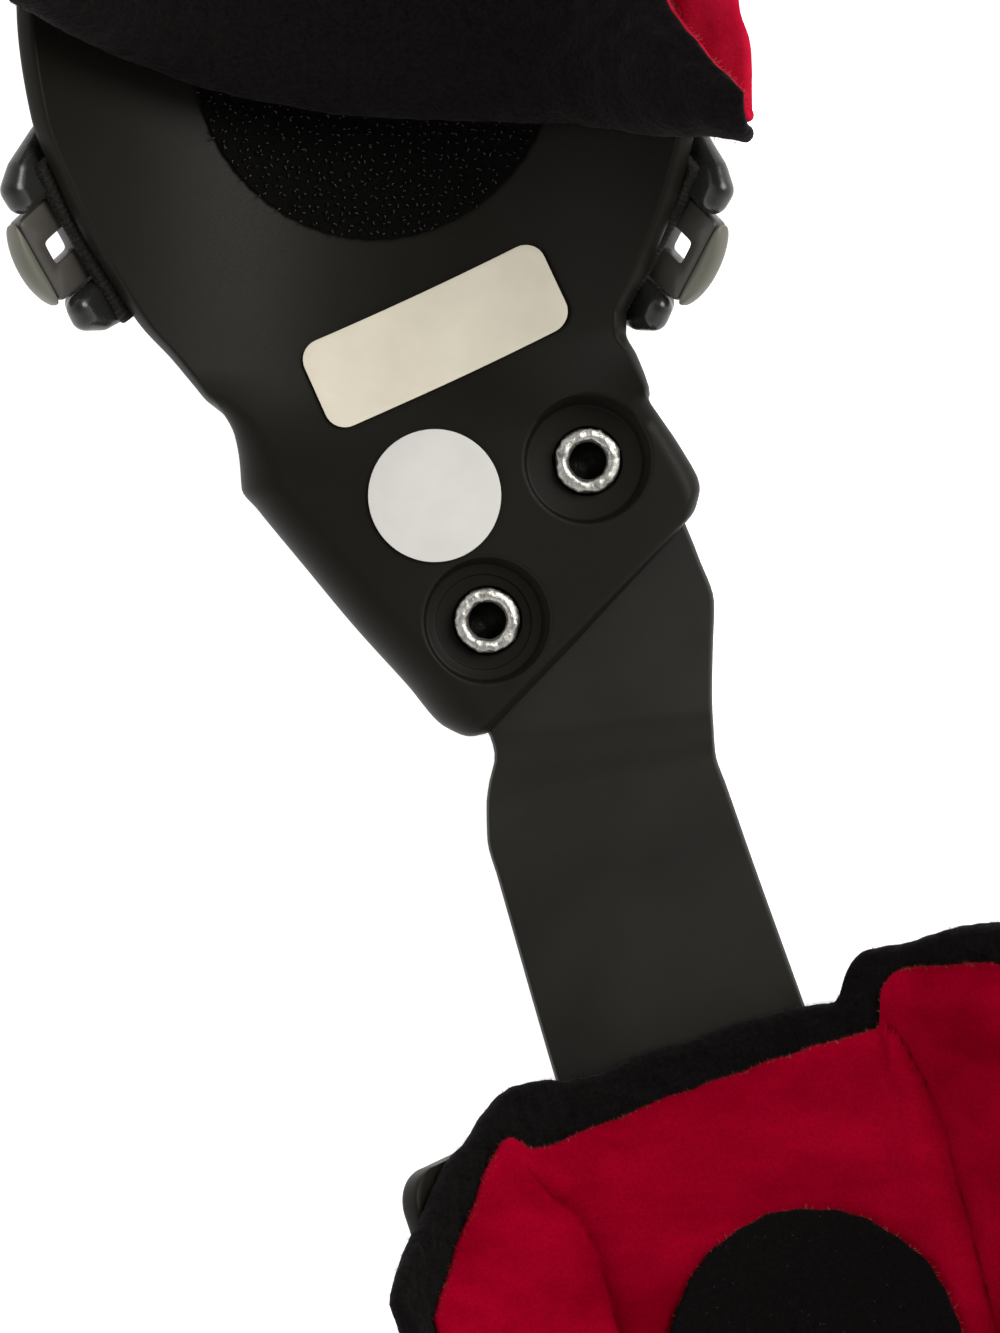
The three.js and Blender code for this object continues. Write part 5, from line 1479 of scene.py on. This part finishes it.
# Points of a buckle set on a cuff's rim: x along the rim, y past it and z outwards, turned by the strap's tilt.
def placed(cuff, side, turn, along, tilt, points):
    radius = cuff["radius"] + shellWall + straps["thick"] + 2 * gap
    outward = cuffPoint(cuff, side * turn, 0, 1) - cuffPoint(cuff, 0, 0, 0)
    tangent = np.array([*(cuff["across"] * side * math.cos(turn)), math.sin(turn)])
    past = tangent * math.cos(tilt) + np.array([*cuff["along"], 0]) * math.sin(tilt)
    rim = np.cross(past, outward)
    return cuffPoint(cuff, side * turn, along, radius) + points @ np.stack([rim, past, outward])


for name in ("upper", "lower"):
    strap = straps[name]
    for label, side in (("left", -1), ("right", 1)):
        where = (strap["cuff"], side, math.radians(strap["turn"]), strap["along"], math.radians(strap["tilt"]))
        points, faces = receiver()
        piece(f"{name}_buckle_{label}_moulding", placed(*where, points), faces, finishes["buckle"],
              [f"{name}_buckle_{label}"])
        tab, lip = hook()
        for part, finish, (points, faces) in (("tab", "tab", tab), ("lip", "lip", lip)):
            piece(f"{name}_hook_{label}_{part}", placed(*where, points), faces, finishes[finish],
                  [f"{name}_hook_{label}"], sharp=sharpAngle)
print("buckles made")


# Camera, light and floor

camera = bpy.data.cameras.new("camera")
camera.sensor_width = 36
camera.lens = 94.5
camera.clip_start, camera.clip_end = 0.01, 20
eye = bpy.data.objects.new("camera", camera)
eye.location = np.array([-17.571, 30.5, 509]) * mm
scene.collection.objects.link(eye)
scene.camera = eye


# A round soft light at a place that looks at a target. Mirrored ones show in glossy surfaces.
def areaLight(name, place, target, size, power, colour, mirrored):
    light = bpy.data.lights.new(name, "AREA")
    light.shape = "DISK"
    light.size, light.energy, light.color = size, power, colour
    made = bpy.data.objects.new(name, light)
    made.location = place
    way = np.array(target) - np.array(place)
    made.rotation_mode = "QUATERNION"
    made.rotation_quaternion = Vector(way).to_track_quat("-Z", "Y")
    made.visible_glossy = mirrored
    scene.collection.objects.link(made)


areaLight("key", (0.42, 0.34, 0.62), (0.0, 0.03, 0.02), 0.5, 4.6, (1.0, 0.985, 0.95), True)
areaLight("fill", (-0.55, -0.15, 0.55), (0.0, 0.03, 0.02), 0.5, 1.0, (0.97, 0.98, 1.0), False)

world = bpy.data.worlds.new("studio")
world.use_nodes = True
scene.world = world
sky = world.node_tree.nodes
looking = sky.new("ShaderNodeTexCoord")
split = sky.new("ShaderNodeSeparateXYZ")
fade = sky.new("ShaderNodeMapRange")  # bright at the horizon, dim overhead
world.node_tree.links.new(looking.outputs["Generated"], split.inputs["Vector"])
world.node_tree.links.new(split.outputs["Z"], fade.inputs["Value"])
for socket, value in (("From Min", 0.1), ("From Max", 0.95), ("To Min", 1.45), ("To Max", 0.12)):
    fade.inputs[socket].default_value = value
world.node_tree.links.new(fade.outputs["Result"], sky["Background"].inputs["Strength"])
sky["Background"].inputs["Color"].default_value = (1.0, 0.99, 0.97, 1)

floorFinish = Finish("white_floor", colour=(0.9, 0.9, 0.9, 1), roughness=0.9)
floorFinish.join((1.0, 1.0, 1.0, 1), floorFinish.shader.inputs["Emission Color"])
floorFinish.join(0.75, floorFinish.shader.inputs["Emission Strength"])
floorMesh = bpy.data.meshes.new("floor")
reach = 4.0
floorMesh.from_pydata([(-reach, -reach, -0.0008), (reach, -reach, -0.0008), (reach, reach, -0.0008),
                       (-reach, reach, -0.0008)], [], [(0, 1, 2, 3)])
floorMesh.materials.append(floorFinish.material)
floor = bpy.data.objects.new("floor", floorMesh)
scene.collection.objects.link(floor)
scene.view_settings.view_transform = "Standard"
